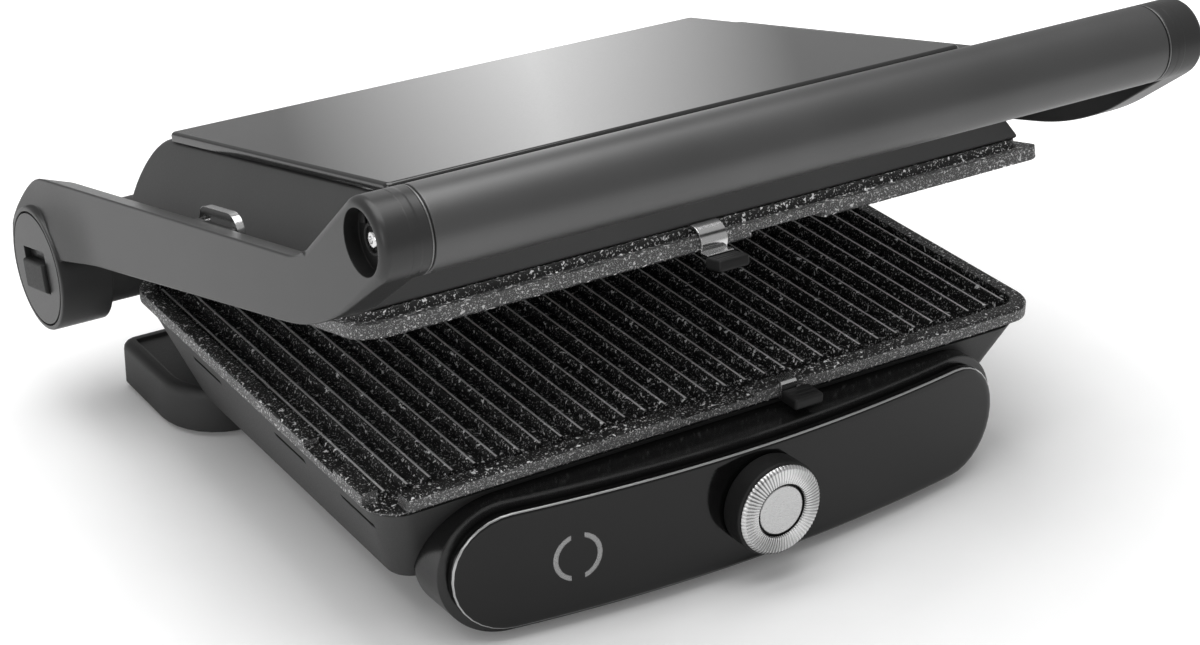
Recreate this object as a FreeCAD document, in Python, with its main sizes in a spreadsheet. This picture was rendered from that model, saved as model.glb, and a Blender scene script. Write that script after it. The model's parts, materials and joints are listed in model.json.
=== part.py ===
"""Contact grill with a floating lid, a cross handle and a control panel.

Working frame: +Z up, +X to the user's right, +Y to the rear, millimetres.  Pieces are drawn with the lid
shut: z = 0 is the top of the lower plate's rim and y = 0 the plates' middle.  Each piece is then put into its
resting place, with the lid half open and the floor at z = 0.
"""
import FreeCAD, Part
import math
import os
import re
import Sketcher

Vector = FreeCAD.Vector
Placement = FreeCAD.Placement
Rotation = FreeCAD.Rotation

# Driving dimensions, in millimetres and degrees
SIZES = {
    # Cooking plates
    "plate_width": 340, "plate_depth": 232, "plate_corner": 14, "plate_floor": 4, "plate_inset": 5,
    "rim_height": 6, "rim_width": 7, "well_corner": 8, "pad_corner": 10,
    "parting_gap": 0.6, "rib_count": 32, "rib_edge": 3.04, "rib_base": 5.4, "rib_top": 2.6, "rib_height": 4.5,
    "rib_margin": 13, "spout_length": 13, "spout_depth": 5.5, "notch_front": 49, "notch_width": 25,
    "notch_depth": 2.5,
    # Latches that clip round the front rims
    "lower_latch_x": 31, "upper_latch_x": -8, "clip_width": 13, "clip_thick": 1.2, "clip_gap": 0.25,
    "clip_top_reach": 5, "clip_under_reach": 4, "clip_ledge": 4.5, "relief_margin": 12.5, "relief_depth": 2.5,
    "tab_width": 15, "tab_length": 11, "tab_height": 5,
    # Base tub, bottom cover and feet
    "stand_height": 22, "tub_inset": 4, "tub_height": 42, "tub_lean": 17, "tub_corner": 14,
    "tub_foot_corner": 11, "wall": 2.5, "hatch_side": 45, "hatch_end": 61, "hatch_y": 5, "hatch_corner": 12,
    "hatch_lap": 9, "cover_thick": 2.5, "screw_inset": 15, "screw_radius": 1.8, "screw_head_radius": 3.4,
    "screw_head_height": 2, "vent_length": 27, "vent_height": 2.2, "vent_below": 10, "vent_front": 32,
    "vent_step": 59, "vent_rear": 62, "post_inset": 65, "post_front": 40, "post_radius": 12, "pad_height": 3,
    "rear_pad_radius": 17, "window_side": 45.5, "window_height": 22,
    # Rear legs and hinge
    "leg_inset": 9, "leg_width": 54, "leg_front_set": 36, "leg_rear_set": 8, "leg_front_radius": 30,
    "leg_edge_radius": 7, "leg_height": 24, "leg_lip": 6, "leg_sink": 1.5, "hinge_reach": 32, "hinge_z": 0,
    "web_width": 22, "web_depth": 26, "barrel_length": 80, "barrel_gap": 2, "barrel_radius": 23,
    "hinge_pin_radius": 6, "pin_head_radius": 9, "pin_head_length": 3, "bush_wall": 3, "bush_length": 14,
    "running_gap": 0.05, "fixed_gap": 0.02,
    # Arms and cross handle
    "arm_pad": 4.5, "arm_thick": 16, "arm_top": 42, "arm_fall": 5.5, "arm_low": 7, "arm_low_front": 14.9,
    "arm_rear_radius": 38, "arm_rear_set": 1, "bend_run": 56, "bend_low_run": 46, "bend_radius": 30,
    "bend_low_radius": 80, "drum_radius": 29, "drum_boss": 2.5, "drum_proud": 6, "tube_reach": 64, "tube_z": 55,
    "tube_radius": 16.4, "tube_wall": 1.5, "cap_length": 19.5, "spigot_length": 26, "rod_radius": 4,
    "rod_inset": 15, "pocket_radius": 12.5, "pocket_depth": 6, "handle_screw_radius": 3.2,
    "handle_screw_height": 2,
    # Pivot covers and release lever
    "disc_radius": 26, "disc_thick": 3, "plug_radius": 8, "lever_width": 25, "lever_height": 14, "lever_z": -3,
    "lever_proud": 2, "lever_travel": 5, "lever_flange": 2, "lever_flange_thick": 3, "slide_gap": 0.3,
    # Float loops, sliders and lid pins
    "float_y": -7, "loop_width": 38, "loop_bottom": 7.5, "loop_top": 41, "loop_corner": 8, "loop_band": 3.5,
    "loop_thick": 3.5, "loop_clear": 1, "slider_height": 10, "slider_flange": 1.5, "flange_lap": 2.5,
    "lid_pin_radius": 4, "lid_pin_reach": 25, "lid_boss_radius": 8, "lid_boss_wall": 2,
    # Lid
    "lid_inset": 6, "lid_front_inset": 5, "lid_height": 41, "lid_rear": 18, "lid_rear_low": 13.5,
    "lid_rear_radius": 24, "glass_side": 27, "glass_front": 15, "glass_rear": 8, "glass_thick": 4,
    "glass_corner": 3, "glass_lip": 1.2,
    # Control housing and panel, in the frame of the panel's face
    "panel_reach": 21, "panel_drop": 30.5, "panel_tilt": 3, "panel_side": 29.5, "panel_height": 53,
    "panel_corner": 26, "panel_thick": 4, "bow_radius": 700, "housing_margin": 3.5, "housing_depth": 40,
    "groove": 1.5, "neck_inset": 6,
    # Knob, thermostat and lamp
    "knob_x": 2, "knob_z": 2, "knob_radius": 21.2, "knob_height": 11, "knob_gap": 0.9, "ring_radius": 20.3,
    "ring_inner": 12, "ring_height": 2.6, "ring_bevel": 1.6, "cap_radius": 11.4, "cap_height": 1.4,
    "shaft_radius": 3, "shaft_grip": 8, "neck_radius": 6, "thermostat_width": 36, "thermostat_height": 30,
    "thermostat_depth": 16, "lamp_in": 53.5, "lamp_radius": 11, "lamp_band": 2.2, "lamp_gap": 6,
    "lamp_proud": 0.2, "board_width": 44, "board_height": 30, "board_thick": 1.6, "guide_length": 9,
    # Heaters, reflectors, fuses and wiring points
    "heater_radius": 3.3, "heater_side": 35, "heater_end": 36, "heater_bend": 40, "heater_gap": 36,
    "reflector_side": 28, "reflector_end": 21, "reflector_corner": 30, "reflector_height": 12, "sheet": 0.8,
    "seat_gap": 0.3, "fuse_radius": 4, "fuse_length": 24, "block_x": 60, "block_width": 44, "block_depth": 18,
    "block_height": 12, "gland_x": 60, "gland_below": 28, "gland_radius": 7, "gland_flange": 10,
    "gland_length": 26, "gland_lip": 4,
    # Resting pose
    "rest_opening": 14.8,
}

# Sizes and places that follow from the driving dimensions
DERIVED = {
    # Across the grill, from the plates outwards
    "rib_pitch": "(plate_width - 2 * rim_width - 2 * rib_edge) / (rib_count - 1)",
    "loop_face": "plate_width / 2 + loop_clear",
    "arm_inner": "loop_face + loop_thick + arm_pad",
    "arm_outer": "arm_inner + arm_thick",
    "drum_inner": "arm_inner - drum_boss",
    "drum_outer": "arm_outer + drum_proud",
    "barrel_outer": "drum_inner - barrel_gap",
    "barrel_inner": "barrel_outer - barrel_length",
    "web_outer": "barrel_inner + web_width",
    "tube_length": "2 * (arm_outer - cap_length)",
    "leg_outer": "plate_width / 2 - leg_inset",
    "post_x": "plate_width / 2 - post_inset",
    "hatch_width": "plate_width - 2 * hatch_side",
    "panel_width": "plate_width - 2 * panel_side",
    "window_width": "panel_width - 2 * window_side",
    "lamp_x": "-panel_width / 2 + lamp_in",
    "lid_pin_inner": "loop_face - lid_pin_reach",
    "lid_boss_inner": "lid_pin_inner - lid_boss_wall",
    "glass_width": "plate_width - 2 * glass_side",
    "heater_width": "plate_width - 2 * heater_side",
    "reflector_width": "plate_width - 2 * reflector_side",
    # From front to rear
    "hinge_y": "plate_depth / 2 + hinge_reach",
    "leg_front_y": "plate_depth / 2 - leg_front_set",
    "leg_rear_y": "hinge_y + leg_rear_set",
    "tube_y": "-plate_depth / 2 - tube_reach",
    "bend_y": "tube_y + bend_run",
    "bend_low_y": "tube_y + bend_low_run",
    "panel_y": "-plate_depth / 2 - panel_reach",
    "glass_front_y": "-plate_depth / 2 + glass_front",
    "glass_rear_y": "plate_depth / 2 - glass_rear",
    "lid_rear_y": "plate_depth / 2 + lid_rear",
    "hatch_depth": "plate_depth - 2 * hatch_end",
    "cover_screw_y": "hatch_depth / 2 - screw_inset",
    "post_y": "-plate_depth / 2 + post_front",
    "notch_y": "-plate_depth / 2 + notch_front",
    "vent_front_y": "-plate_depth / 2 + vent_front",
    "vent_middle_y": "vent_front_y + vent_step",
    "vent_rear_y": "plate_depth / 2 - vent_rear",
    "heater_depth": "plate_depth - 2 * heater_end",
    "reflector_depth": "plate_depth - 2 * reflector_end",
    # Heights
    "rim_to_floor": "rim_height + plate_floor + tub_height + stand_height",
    "panel_z": "-rim_height - plate_floor - panel_drop",
    "gland_drop": "rim_height + plate_floor + gland_below",
    "vent_drop": "rim_height + plate_floor + vent_below",
}

doc = FreeCAD.newDocument("contact_grill")
sheet = doc.addObject("Spreadsheet::Sheet", "Sizes")
for row, (alias, value) in enumerate(SIZES.items(), start=1):
    sheet.set(f"A{row}", alias)
    sheet.set(f"B{row}", str(value))
    sheet.setAlias(f"B{row}", alias)
for row, (alias, formula) in enumerate(DERIVED.items(), start=len(SIZES) + 1):
    sheet.set(f"A{row}", alias)
    sheet.setAlias(f"B{row}", alias)
    sheet.set(f"B{row}", "=" + formula)
doc.recompute()


class SheetValues:
    """Reads a size from the sheet by its alias."""

    def __getattr__(self, alias):
        return float(sheet.get(alias))


S = SheetValues()
ALIAS = re.compile(r"\b(" + "|".join([*SIZES, *DERIVED]) + r")\b")

# Heights that several pieces share, written in terms of the sizes
TUB_TOP = "(-rim_height - plate_floor)"
TUB_BOTTOM = "(-rim_height - plate_floor - tub_height)"
LID_BOTTOM = "(parting_gap + rim_height + plate_floor)"
LID_TOP = "(parting_gap + rim_height + plate_floor + lid_height)"
PIN_Z = "(loop_bottom + loop_band + slide_gap + slider_height / 2)"
NECK_BACK = "(panel_thick + groove)"


def bind(target, prop, text):
    """Ties a property to the sheet; the text uses the sizes' plain names."""
    target.setExpression(prop, ALIAS.sub(lambda match: "Sizes." + match.group(0), text))


# Sketches and bodies

def new_body(name):
    return doc.addObject("PartDesign::Body", name)


def new_sketch(body, name, role, x="0", y="0", z="0"):
    """Empty sketch on one of the body's own planes, shifted by x, y along it and z off it."""
    sketch = body.newObject("Sketcher::SketchObject", name)
    plane = next(item for item in body.Origin.OriginFeatures if item.Role == role)
    sketch.AttachmentSupport = [(plane, "")]
    sketch.MapMode = "FlatFace"
    for axis, text in zip("xyz", (x, y, z)):
        bind(sketch, "AttachmentOffset.Base." + axis, text)
    return sketch


def bound_constraint(sketch, name, constraint, text):
    index = sketch.addConstraint(constraint)
    sketch.renameConstraint(index, name)
    bind(sketch, "Constraints." + name, text)


def rounded_sketch(body, name, role, width, depth, corner, **shift):
    """Rectangle with round corners, centred on the sketch's shifted origin."""
    sketch = new_sketch(body, name, role, **shift)
    half_w, half_d, radius = 50.0, 40.0, 8.0
    in_w, in_d = half_w - radius, half_d - radius
    sides = [((-in_w, -half_d), (in_w, -half_d)), ((half_w, -in_d), (half_w, in_d)),
             ((in_w, half_d), (-in_w, half_d)), ((-half_w, in_d), (-half_w, -in_d))]
    for start, end in sides:
        sketch.addGeometry(Part.LineSegment(Vector(*start, 0), Vector(*end, 0)), False)
    for turn, (sign_x, sign_y) in enumerate(((1, -1), (1, 1), (-1, 1), (-1, -1))):
        circle = Part.Circle(Vector(sign_x * in_w, sign_y * in_d, 0), Vector(0, 0, 1), radius)
        start = math.radians(90 * turn - 90)
        sketch.addGeometry(Part.ArcOfCircle(circle, start, start + math.pi / 2), False)
    for side in range(4):
        sketch.addConstraint(Sketcher.Constraint("Tangent", side, 2, side + 4, 1))
        sketch.addConstraint(Sketcher.Constraint("Tangent", side + 4, 2, (side + 1) % 4, 1))
    for side, kind in enumerate(("Horizontal", "Vertical", "Horizontal", "Vertical")):
        sketch.addConstraint(Sketcher.Constraint(kind, side))
    for arc in (5, 6, 7):
        sketch.addConstraint(Sketcher.Constraint("Equal", 4, arc))
    sketch.addConstraint(Sketcher.Constraint("Symmetric", 4, 3, 6, 3, -1, 1))
    bound_constraint(sketch, "corner", Sketcher.Constraint("Radius", 4, radius), corner)
    bound_constraint(sketch, "width", Sketcher.Constraint("DistanceX", 3, 1, 1, 1, 2 * half_w), width)
    bound_constraint(sketch, "depth", Sketcher.Constraint("DistanceY", 0, 1, 2, 1, 2 * half_d), depth)
    return sketch


def trapezoid_sketch(body, name, role, low, top, height, **shift):
    """Upright trapezoid standing on the sketch's shifted origin."""
    sketch = new_sketch(body, name, role, **shift)
    corners = [(-20, 0), (20, 0), (10, 15), (-10, 15)]
    for start, end in zip(corners, corners[1:] + corners[:1]):
        sketch.addGeometry(Part.LineSegment(Vector(*start, 0), Vector(*end, 0)), False)
    for line in range(4):
        sketch.addConstraint(Sketcher.Constraint("Coincident", line, 2, (line + 1) % 4, 1))
    sketch.addConstraint(Sketcher.Constraint("Symmetric", 0, 1, 0, 2, -1, 1))
    sketch.addConstraint(Sketcher.Constraint("Symmetric", 2, 1, 2, 2, -2))
    sketch.addConstraint(Sketcher.Constraint("Horizontal", 0))
    bound_constraint(sketch, "low", Sketcher.Constraint("DistanceX", 0, 1, 0, 2, 40), low)
    bound_constraint(sketch, "top", Sketcher.Constraint("DistanceX", 2, 2, 2, 1, 20), top)
    bound_constraint(sketch, "height", Sketcher.Constraint("DistanceY", 0, 1, 2, 2, 15), height)
    return sketch


def feature(body, kind, name, sketch, length, symmetric=False):
    """Pad or pocket of a sketch; a pocket cuts against the sketch's normal."""
    item = body.newObject("PartDesign::" + kind, name)
    item.Profile = sketch
    if symmetric:
        item.SideType = "Symmetric"
    bind(item, "Length", length)
    sketch.Visibility = False
    return item


def loft(body, name, first, second):
    item = body.newObject("PartDesign::AdditiveLoft", name)
    item.Profile = first
    item.Sections = [second]
    item.Ruled = True
    return item


# Primitives and booleans

AXIS_TURN = {"X": Rotation(Vector(0, 1, 0), 90), "Y": Rotation(Vector(1, 0, 0), -90), "Z": Rotation()}


def put(item, x, y, z):
    for axis, text in zip("xyz", (x, y, z)):
        bind(item, "Placement.Base." + axis, text)
    return item


def box(name, x, y, z, length, width, height):
    """Block from its lowest corner."""
    item = doc.addObject("Part::Box", name)
    bind(item, "Length", length)
    bind(item, "Width", width)
    bind(item, "Height", height)
    return put(item, x, y, z)


def cylinder(name, axis, radius, length, x, y, z):
    """Cylinder that starts at x, y, z and runs along the positive axis."""
    item = doc.addObject("Part::Cylinder", name)
    bind(item, "Radius", radius)
    bind(item, "Height", length)
    item.Placement = Placement(Vector(), AXIS_TURN[axis])
    return put(item, x, y, z)


def cut(name, base, tools):
    for step, tool in enumerate(tools):
        result = doc.addObject("Part::Cut", f"{name}_{step}" if step + 1 < len(tools) else name)
        result.Base = base
        result.Tool = tool
        base = result
    return base


def fuse(name, items):
    result = doc.addObject("Part::MultiFuse", name)
    result.Shapes = items
    return result


def common(name, items):
    result = doc.addObject("Part::MultiCommon", name)
    result.Shapes = items
    return result


def group(name, items):
    result = doc.addObject("Part::Compound", name)
    result.Links = items
    return result


# Outlines with round corners, for pieces whose side view is a run of lines and arcs

def rounded_wire(points, closed=True):
    """Wire through (point, corner radius) pairs, with a tangent arc at each corner that has a radius."""
    count = len(points)
    edges = []
    last = None
    first = None
    for index, (corner, radius) in enumerate(points):
        at_end = not closed and index in (0, count - 1)
        before = points[index - 1][0]
        after = points[(index + 1) % count][0]
        if radius and not at_end:
            back = (before - corner).normalize()
            ahead = (after - corner).normalize()
            half = back.getAngle(ahead) / 2
            reach = radius / math.tan(half)
            start, end = corner + back * reach, corner + ahead * reach
            middle = corner + (back + ahead).normalize() * (radius / math.sin(half) - radius)
            arc = Part.Arc(start, middle, end).toShape()
        else:
            start = end = corner
            arc = None
        if last is not None and last.distanceToPoint(start) > 1e-6:
            edges.append(Part.makeLine(last, start))
        if arc:
            edges.append(arc)
        first = first or start
        last = end
    if closed and last.distanceToPoint(first) > 1e-6:
        edges.append(Part.makeLine(last, first))
    return Part.Wire(edges)


def side_prism(points, x_low, x_high):
    """Solid from a side view of (y, z, corner radius) points between two planes of x."""
    wire = rounded_wire([(Vector(x_low, y, z), radius) for y, z, radius in points])
    return Part.Face(wire).extrude(Vector(x_high - x_low, 0, 0))


def plan_prism(points, z_low, z_high):
    """Solid from a plan of (x, y, corner radius) points between two heights."""
    wire = rounded_wire([(Vector(x, y, z_low), radius) for x, y, radius in points])
    return Part.Face(wire).extrude(Vector(0, 0, z_high - z_low))


def shape_feature(name, shape):
    item = doc.addObject("Part::Feature", name)
    item.Shape = shape
    return item


# Nodes, each with the frame that it rests in

NODES = []


def node(label, item, frame):
    item.Label = label
    NODES.append((label, item, frame))


SIDES = (("left", -1), ("right", 1))


def across(side, near, far):
    """Low x and length of a span between two distances from the middle, on one side."""
    low = near if side > 0 else f"-({far})"
    return low, f"({far}) - ({near})"


# Cooking plates

def make_plate(name, relief_x, spout):
    """Ribbed plate with its rim's top at z = 0; relief_x is where the other plate's latch comes.

    A plate with a drain spout is open at one front corner; one without it has a square ear there.
    """
    body = new_body(name)
    band = rounded_sketch(body, name + "_band", "XY_Plane", "plate_width", "plate_depth", "plate_corner",
                          z="-rim_height")
    feature(body, "Pad", name + "_rim", band, "rim_height")
    foot = rounded_sketch(body, name + "_foot", "XY_Plane", "plate_width - 2 * plate_inset",
                          "plate_depth - 2 * plate_inset", "pad_corner", z=TUB_TOP)
    feature(body, "Pad", name + "_floor", foot, "plate_floor")
    well = rounded_sketch(body, name + "_well", "XY_Plane", "plate_width - 2 * rim_width",
                          "plate_depth - 2 * rim_width", "well_corner")
    feature(body, "Pocket", name + "_hollow", well, "rim_height")
    section = trapezoid_sketch(body, name + "_section", "XZ_Plane", "rib_base", "rib_top", "rib_height",
                               x="-rib_pitch * (rib_count - 1) / 2", y="-rim_height")
    rib = feature(body, "Pad", name + "_rib", section, "plate_depth - 2 * rib_margin", symmetric=True)
    ribs = body.newObject("PartDesign::LinearPattern", name + "_ribs")
    ribs.Originals = [rib]
    ribs.Direction = (band, ["H_Axis"])
    bind(ribs, "Length", "rib_pitch * (rib_count - 1)")
    bind(ribs, "Occurrences", "rib_count")
    body.Tip = ribs
    relief = box(name + "_relief", f"{relief_x} - clip_width / 2 - relief_margin", "-plate_depth / 2 - 1",
                 "-relief_depth", "clip_width + 2 * relief_margin", "rim_width + 2", "relief_depth + 1")
    tools = [relief]
    if spout:
        tools.append(box(name + "_spout", "-plate_width / 2 - 1", "-plate_depth / 2 - 1", "-spout_depth",
                         "spout_length + 1", "spout_length + 1", "spout_depth + 1"))
        tools.append(box(name + "_notch", "-plate_width / 2 - 1", "notch_y - notch_width / 2", "-notch_depth",
                         "rim_width + 2", "notch_width", "notch_depth + 1"))
    else:
        ear = box(name + "_ear", "-plate_width / 2", "-plate_depth / 2", "-rim_height", "plate_corner",
                  "plate_corner", "rim_height")
        ear_well = box(name + "_ear_well", "rim_width - plate_width / 2", "rim_width - plate_depth / 2",
                       "-rim_height", "plate_corner", "plate_corner", "rim_height")
        body = fuse(name + "_eared", [body, cut(name + "_ear_corner", ear, [ear_well])])
    return cut(name + "_trimmed", body, tools)


def make_heater(name):
    """Tubular element: a round-cornered loop, open at the rear, lying under a plate at z = 0."""
    half_w, half_d, level = S.heater_width / 2, S.heater_depth / 2, -S.heater_radius
    ends = [(S.heater_gap / 2, half_d), (half_w, half_d), (half_w, -half_d)]
    route = [(x, y) for x, y in ends] + [(-x, y) for x, y in reversed(ends)]
    path = rounded_wire([(Vector(x, y, level), S.heater_bend) for x, y in route], closed=False)
    start = Vector(S.heater_gap / 2, half_d, level)
    profile = Part.Wire(Part.makeCircle(S.heater_radius, start, Vector(1, 0, 0)))
    return shape_feature(name, path.makePipeShell([profile], True, False))


def make_reflector(name):
    """Sheet pan, open at the top; its edge comes just below a plate at z = 0."""
    body = new_body(name)
    outer = rounded_sketch(body, name + "_outer", "XY_Plane", "reflector_width", "reflector_depth",
                           "reflector_corner", z="-seat_gap - reflector_height")
    feature(body, "Pad", name + "_block", outer, "reflector_height")
    inner = rounded_sketch(body, name + "_inner", "XY_Plane", "reflector_width - 2 * sheet",
                           "reflector_depth - 2 * sheet", "reflector_corner - sheet", z="-seat_gap")
    feature(body, "Pocket", name + "_pan", inner, "reflector_height - sheet")
    return body


def make_fuse(name):
    """Thermal fuse that lies under the reflector pan."""
    return group(name + "_group", [cylinder(name, "X", "fuse_radius", "fuse_length", "-fuse_length / 2", "0",
                                            "-seat_gap - reflector_height - fuse_radius")])


lower_plate = make_plate("lower", "upper_latch_x", spout=True)
node("lower_plate", lower_plate, "base")
node("lower_heater", make_heater("lower_element"), "under_lower_plate")
node("lower_reflector", make_reflector("lower_pan"), "under_lower_plate")
node("lower_thermal_fuse", make_fuse("lower_fuse"), "under_lower_plate")
upper_plate = make_plate("upper", "-lower_latch_x", spout=False)
node("upper_plate", upper_plate, "upper_plate")
node("upper_heater", make_heater("upper_element"), "over_upper_plate")
node("upper_reflector", make_reflector("upper_pan"), "over_upper_plate")
node("upper_thermal_fuse", make_fuse("upper_fuse"), "over_upper_plate")


# Latches: a spring clip bent round the front rim, with a finger tab

def make_latch(label, latch_x, rim_low, rim_high, hook_reach, heel_reach, ledge, frame):
    """C-shaped clip round the rim from rim_low to rim_high; its tab hangs at the front of a ledge."""
    x = f"{latch_x} - clip_width / 2"
    front = "-plate_depth / 2 - clip_gap - clip_thick"
    low = f"{rim_low} - clip_gap - clip_thick"
    high = f"{rim_high} + clip_gap + clip_thick"
    leaf = box(label + "_leaf", x, front, low, "clip_width", "clip_thick", f"{high} - ({low})")
    top = box(label + "_top", x, front, f"{rim_high} + clip_gap", "clip_width",
              f"{hook_reach} + clip_gap + clip_thick", "clip_thick")
    under = box(label + "_under", x, f"{front} - {ledge}", low, "clip_width",
                f"{ledge} + {heel_reach} + clip_gap + clip_thick", "clip_thick")
    node(label + "_latch_clip", fuse(label + "_clip", [leaf, top, under]), frame)
    return front, low


def make_tab(label, latch_x, y, z, frame):
    tab = box(label + "_tab", f"{latch_x} - tab_width / 2", y, z, "tab_width", "tab_length", "tab_height")
    node(label + "_latch_tab", group(label + "_tab_group", [tab]), frame)


clip_front, clip_low = make_latch("lower", "lower_latch_x", "-rim_height", "0", "clip_top_reach",
                                  "clip_under_reach", "0", "base")
make_tab("lower", "lower_latch_x", f"{clip_front} - tab_length", clip_low, "base")
clip_front, clip_low = make_latch("upper", "upper_latch_x", "parting_gap", "parting_gap + rim_height",
                                  "clip_under_reach", "clip_top_reach", "clip_ledge", "lid")
make_tab("upper", "upper_latch_x", f"{clip_front} + clip_thick - clip_ledge - tab_length",
         f"{clip_low} - tab_height", "lid")


# Base tub and what is fixed to it

def make_tub_form(name, inset, top, bottom):
    """Tapered block between two rounded rectangles; inset moves its walls inwards."""
    body = new_body(name)
    width = f"plate_width - 2 * tub_inset - 2 * {inset}"
    depth = f"plate_depth - 2 * tub_inset - 2 * {inset}"
    upper = rounded_sketch(body, name + "_top", "XY_Plane", width, depth, f"tub_corner - {inset}", z=top)
    lower = rounded_sketch(body, name + "_low", "XY_Plane", f"{width} - 2 * tub_lean",
                           f"{depth} - 2 * tub_lean", f"tub_foot_corner - {inset}", z=bottom)
    loft(body, name + "_loft", upper, lower)
    return body


tub_form = make_tub_form("tub_form", "0", TUB_TOP, TUB_BOTTOM)
tub_hollow = make_tub_form("tub_hollow", "wall", TUB_TOP, TUB_BOTTOM + " + wall")
hatch = new_body("hatch")
feature(hatch, "Pad", "hatch_hole", rounded_sketch(
    hatch, "hatch_outline", "XY_Plane", "hatch_width", "hatch_depth", "hatch_corner", y="hatch_y",
    z=TUB_BOTTOM + " - 1"), "wall + 2")
tub_tools = [tub_hollow, hatch]
for side_name, side in SIDES:
    for vent_name in ("rear", "middle", "front"):
        vent_x, vent_reach = across(side, "plate_width / 2 - tub_inset - tub_lean", "plate_width / 2")
        tub_tools.append(box(f"vent_{vent_name}_{side_name}", vent_x, f"vent_{vent_name}_y - vent_length / 2",
                             "-vent_drop - vent_height / 2", vent_reach, "vent_length", "vent_height"))
tub_tools.append(box("tub_window", "-window_width / 2", "-plate_depth / 2", "panel_z - window_height / 2",
                     "window_width", "plate_depth / 4", "window_height"))
gland_bore = cylinder("gland_bore", "Y", "gland_radius + fixed_gap", "plate_depth / 4", "gland_x",
                      "plate_depth / 4", "-gland_drop")
tub_tools.append(gland_bore)
screw_spots = [(f"{x} * (hatch_width + hatch_lap) / 2", f"hatch_y + {y} * cover_screw_y")
               for x in (-1, 1) for y in (-1, 1)]
screw_bores = [cylinder(f"screw_bore_{number}", "Z", "screw_radius + fixed_gap", "wall + cover_thick + 2", x, y,
                        TUB_BOTTOM + " - cover_thick - 1")
               for number, (x, y) in enumerate(screw_spots)]
tub_shell = cut("tub_shell", tub_form, tub_tools + screw_bores)
posts = [cylinder(f"post_{side_name}", "Z", "post_radius",
                  "rim_to_floor - pad_height - rim_height - plate_floor - tub_height", f"{side} * post_x",
                  "post_y", "-rim_to_floor + pad_height")
         for side_name, side in SIDES]
node("base_tub", tub_shell, "base")
node("front_posts", group("front_post_group", posts), "base")

cover = new_body("cover")
feature(cover, "Pad", "cover_sheet", rounded_sketch(
    cover, "cover_outline", "XY_Plane", "hatch_width + 2 * hatch_lap", "hatch_depth + 2 * hatch_lap",
    "hatch_corner", y="hatch_y", z=TUB_BOTTOM + " - cover_thick"), "cover_thick")
node("bottom_cover", cut("cover_drilled", cover, screw_bores), "base")
screws = []
for number, (screw_x, screw_y) in enumerate(screw_spots):
    shank = cylinder(f"screw_shank_{number}", "Z", "screw_radius", "wall + cover_thick", screw_x, screw_y,
                     TUB_BOTTOM + " - cover_thick")
    head = cylinder(f"screw_head_{number}", "Z", "screw_head_radius", "screw_head_height", screw_x, screw_y,
                    TUB_BOTTOM + " - cover_thick - screw_head_height")
    screws.append(fuse(f"screw_{number}", [head, shank]))
node("bottom_screws", group("bottom_screw_group", screws), "base")


# Rear legs with hinge barrels, hinge pins and feet

LEG_MIDDLE_Y = "(leg_front_y + leg_rear_y) / 2"


def leg_plan(side, inset):
    """Plan of a rear leg: nearly square at the rear, well rounded at its outer front corner."""
    outer = side * (S.leg_outer - inset)
    inner = side * (S.leg_outer - S.leg_width + inset)
    front, rear, edge = S.leg_front_y + inset, S.leg_rear_y - inset, S.leg_edge_radius - inset
    return [(outer, rear, edge), (outer, front, S.leg_front_radius - inset), (inner, front, edge),
            (inner, rear, edge)]


feet = [cylinder(f"front_foot_{side_name}", "Z", "post_radius", "pad_height", f"{side} * post_x", "post_y",
                 "-rim_to_floor") for side_name, side in SIDES]
leg_low = S.pad_height - S.rim_to_floor
leg_top = S.leg_height - S.rim_to_floor
for side_name, side in SIDES:
    block = plan_prism(leg_plan(side, 0), leg_low, leg_top)
    tray = plan_prism(leg_plan(side, S.leg_lip), leg_top - S.leg_sink, leg_top)
    leg = shape_feature(f"leg_{side_name}", block.cut(tray))
    web_x, web_span = across(side, "barrel_inner", "web_outer")
    web = box(f"web_{side_name}", web_x, "leg_rear_y - web_depth", "-rim_to_floor + leg_height / 2", web_span,
              "web_depth", "rim_to_floor - leg_height / 2 + hinge_z")
    barrel_x, barrel_span = across(side, "barrel_inner", "barrel_outer")
    barrel = cylinder(f"barrel_{side_name}", "X", "barrel_radius", barrel_span, barrel_x, "hinge_y", "hinge_z")
    bore = cylinder(f"barrel_bore_{side_name}", "X", "hinge_pin_radius + fixed_gap", barrel_span, barrel_x,
                    "hinge_y", "hinge_z")
    stand = fuse(f"stand_{side_name}", [leg, web, barrel])
    node(f"rear_leg_{side_name}", cut(f"leg_fitted_{side_name}", stand, [tub_form, bore]), "base")
    feet.append(cylinder(f"rear_foot_{side_name}", "Z", "rear_pad_radius", "pad_height",
                         f"{side} * (leg_outer - leg_width / 2)", LEG_MIDDLE_Y, "-rim_to_floor"))
    pin_x, pin_span = across(side, "barrel_inner", "drum_inner + bush_length")
    head_x, head_span = across(side, "barrel_inner - pin_head_length", "barrel_inner")
    pin = cylinder(f"pin_{side_name}", "X", "hinge_pin_radius", pin_span, pin_x, "hinge_y", "hinge_z")
    pin_head = cylinder(f"pin_head_{side_name}", "X", "pin_head_radius", head_span, head_x, "hinge_y",
                        "hinge_z")
    node(f"hinge_pin_{side_name}", fuse(f"pin_fused_{side_name}", [pin, pin_head]), "base")
node("rubber_feet", group("feet", feet), "base")


# Control housing and panel; their own frame has +Y inwards from the face's middle

def bowed(name, depth, margin, corner_margin):
    """Round-ended block whose front bulges; depth is how far its front lies behind the panel's face."""
    body = new_body(name + "_block")
    outline = rounded_sketch(body, name + "_outline", "XZ_Plane", f"panel_width + 2 * ({margin})",
                             f"panel_height + 2 * ({margin})", f"panel_corner + ({corner_margin})")
    feature(body, "Pad", name + "_pad", outline, "2 * housing_depth", symmetric=True)
    drum = cylinder(name + "_drum", "Z", "bow_radius", "2 * panel_height", "0", f"bow_radius + {depth}",
                    "-panel_height")
    return common(name, [body, drum])


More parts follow.
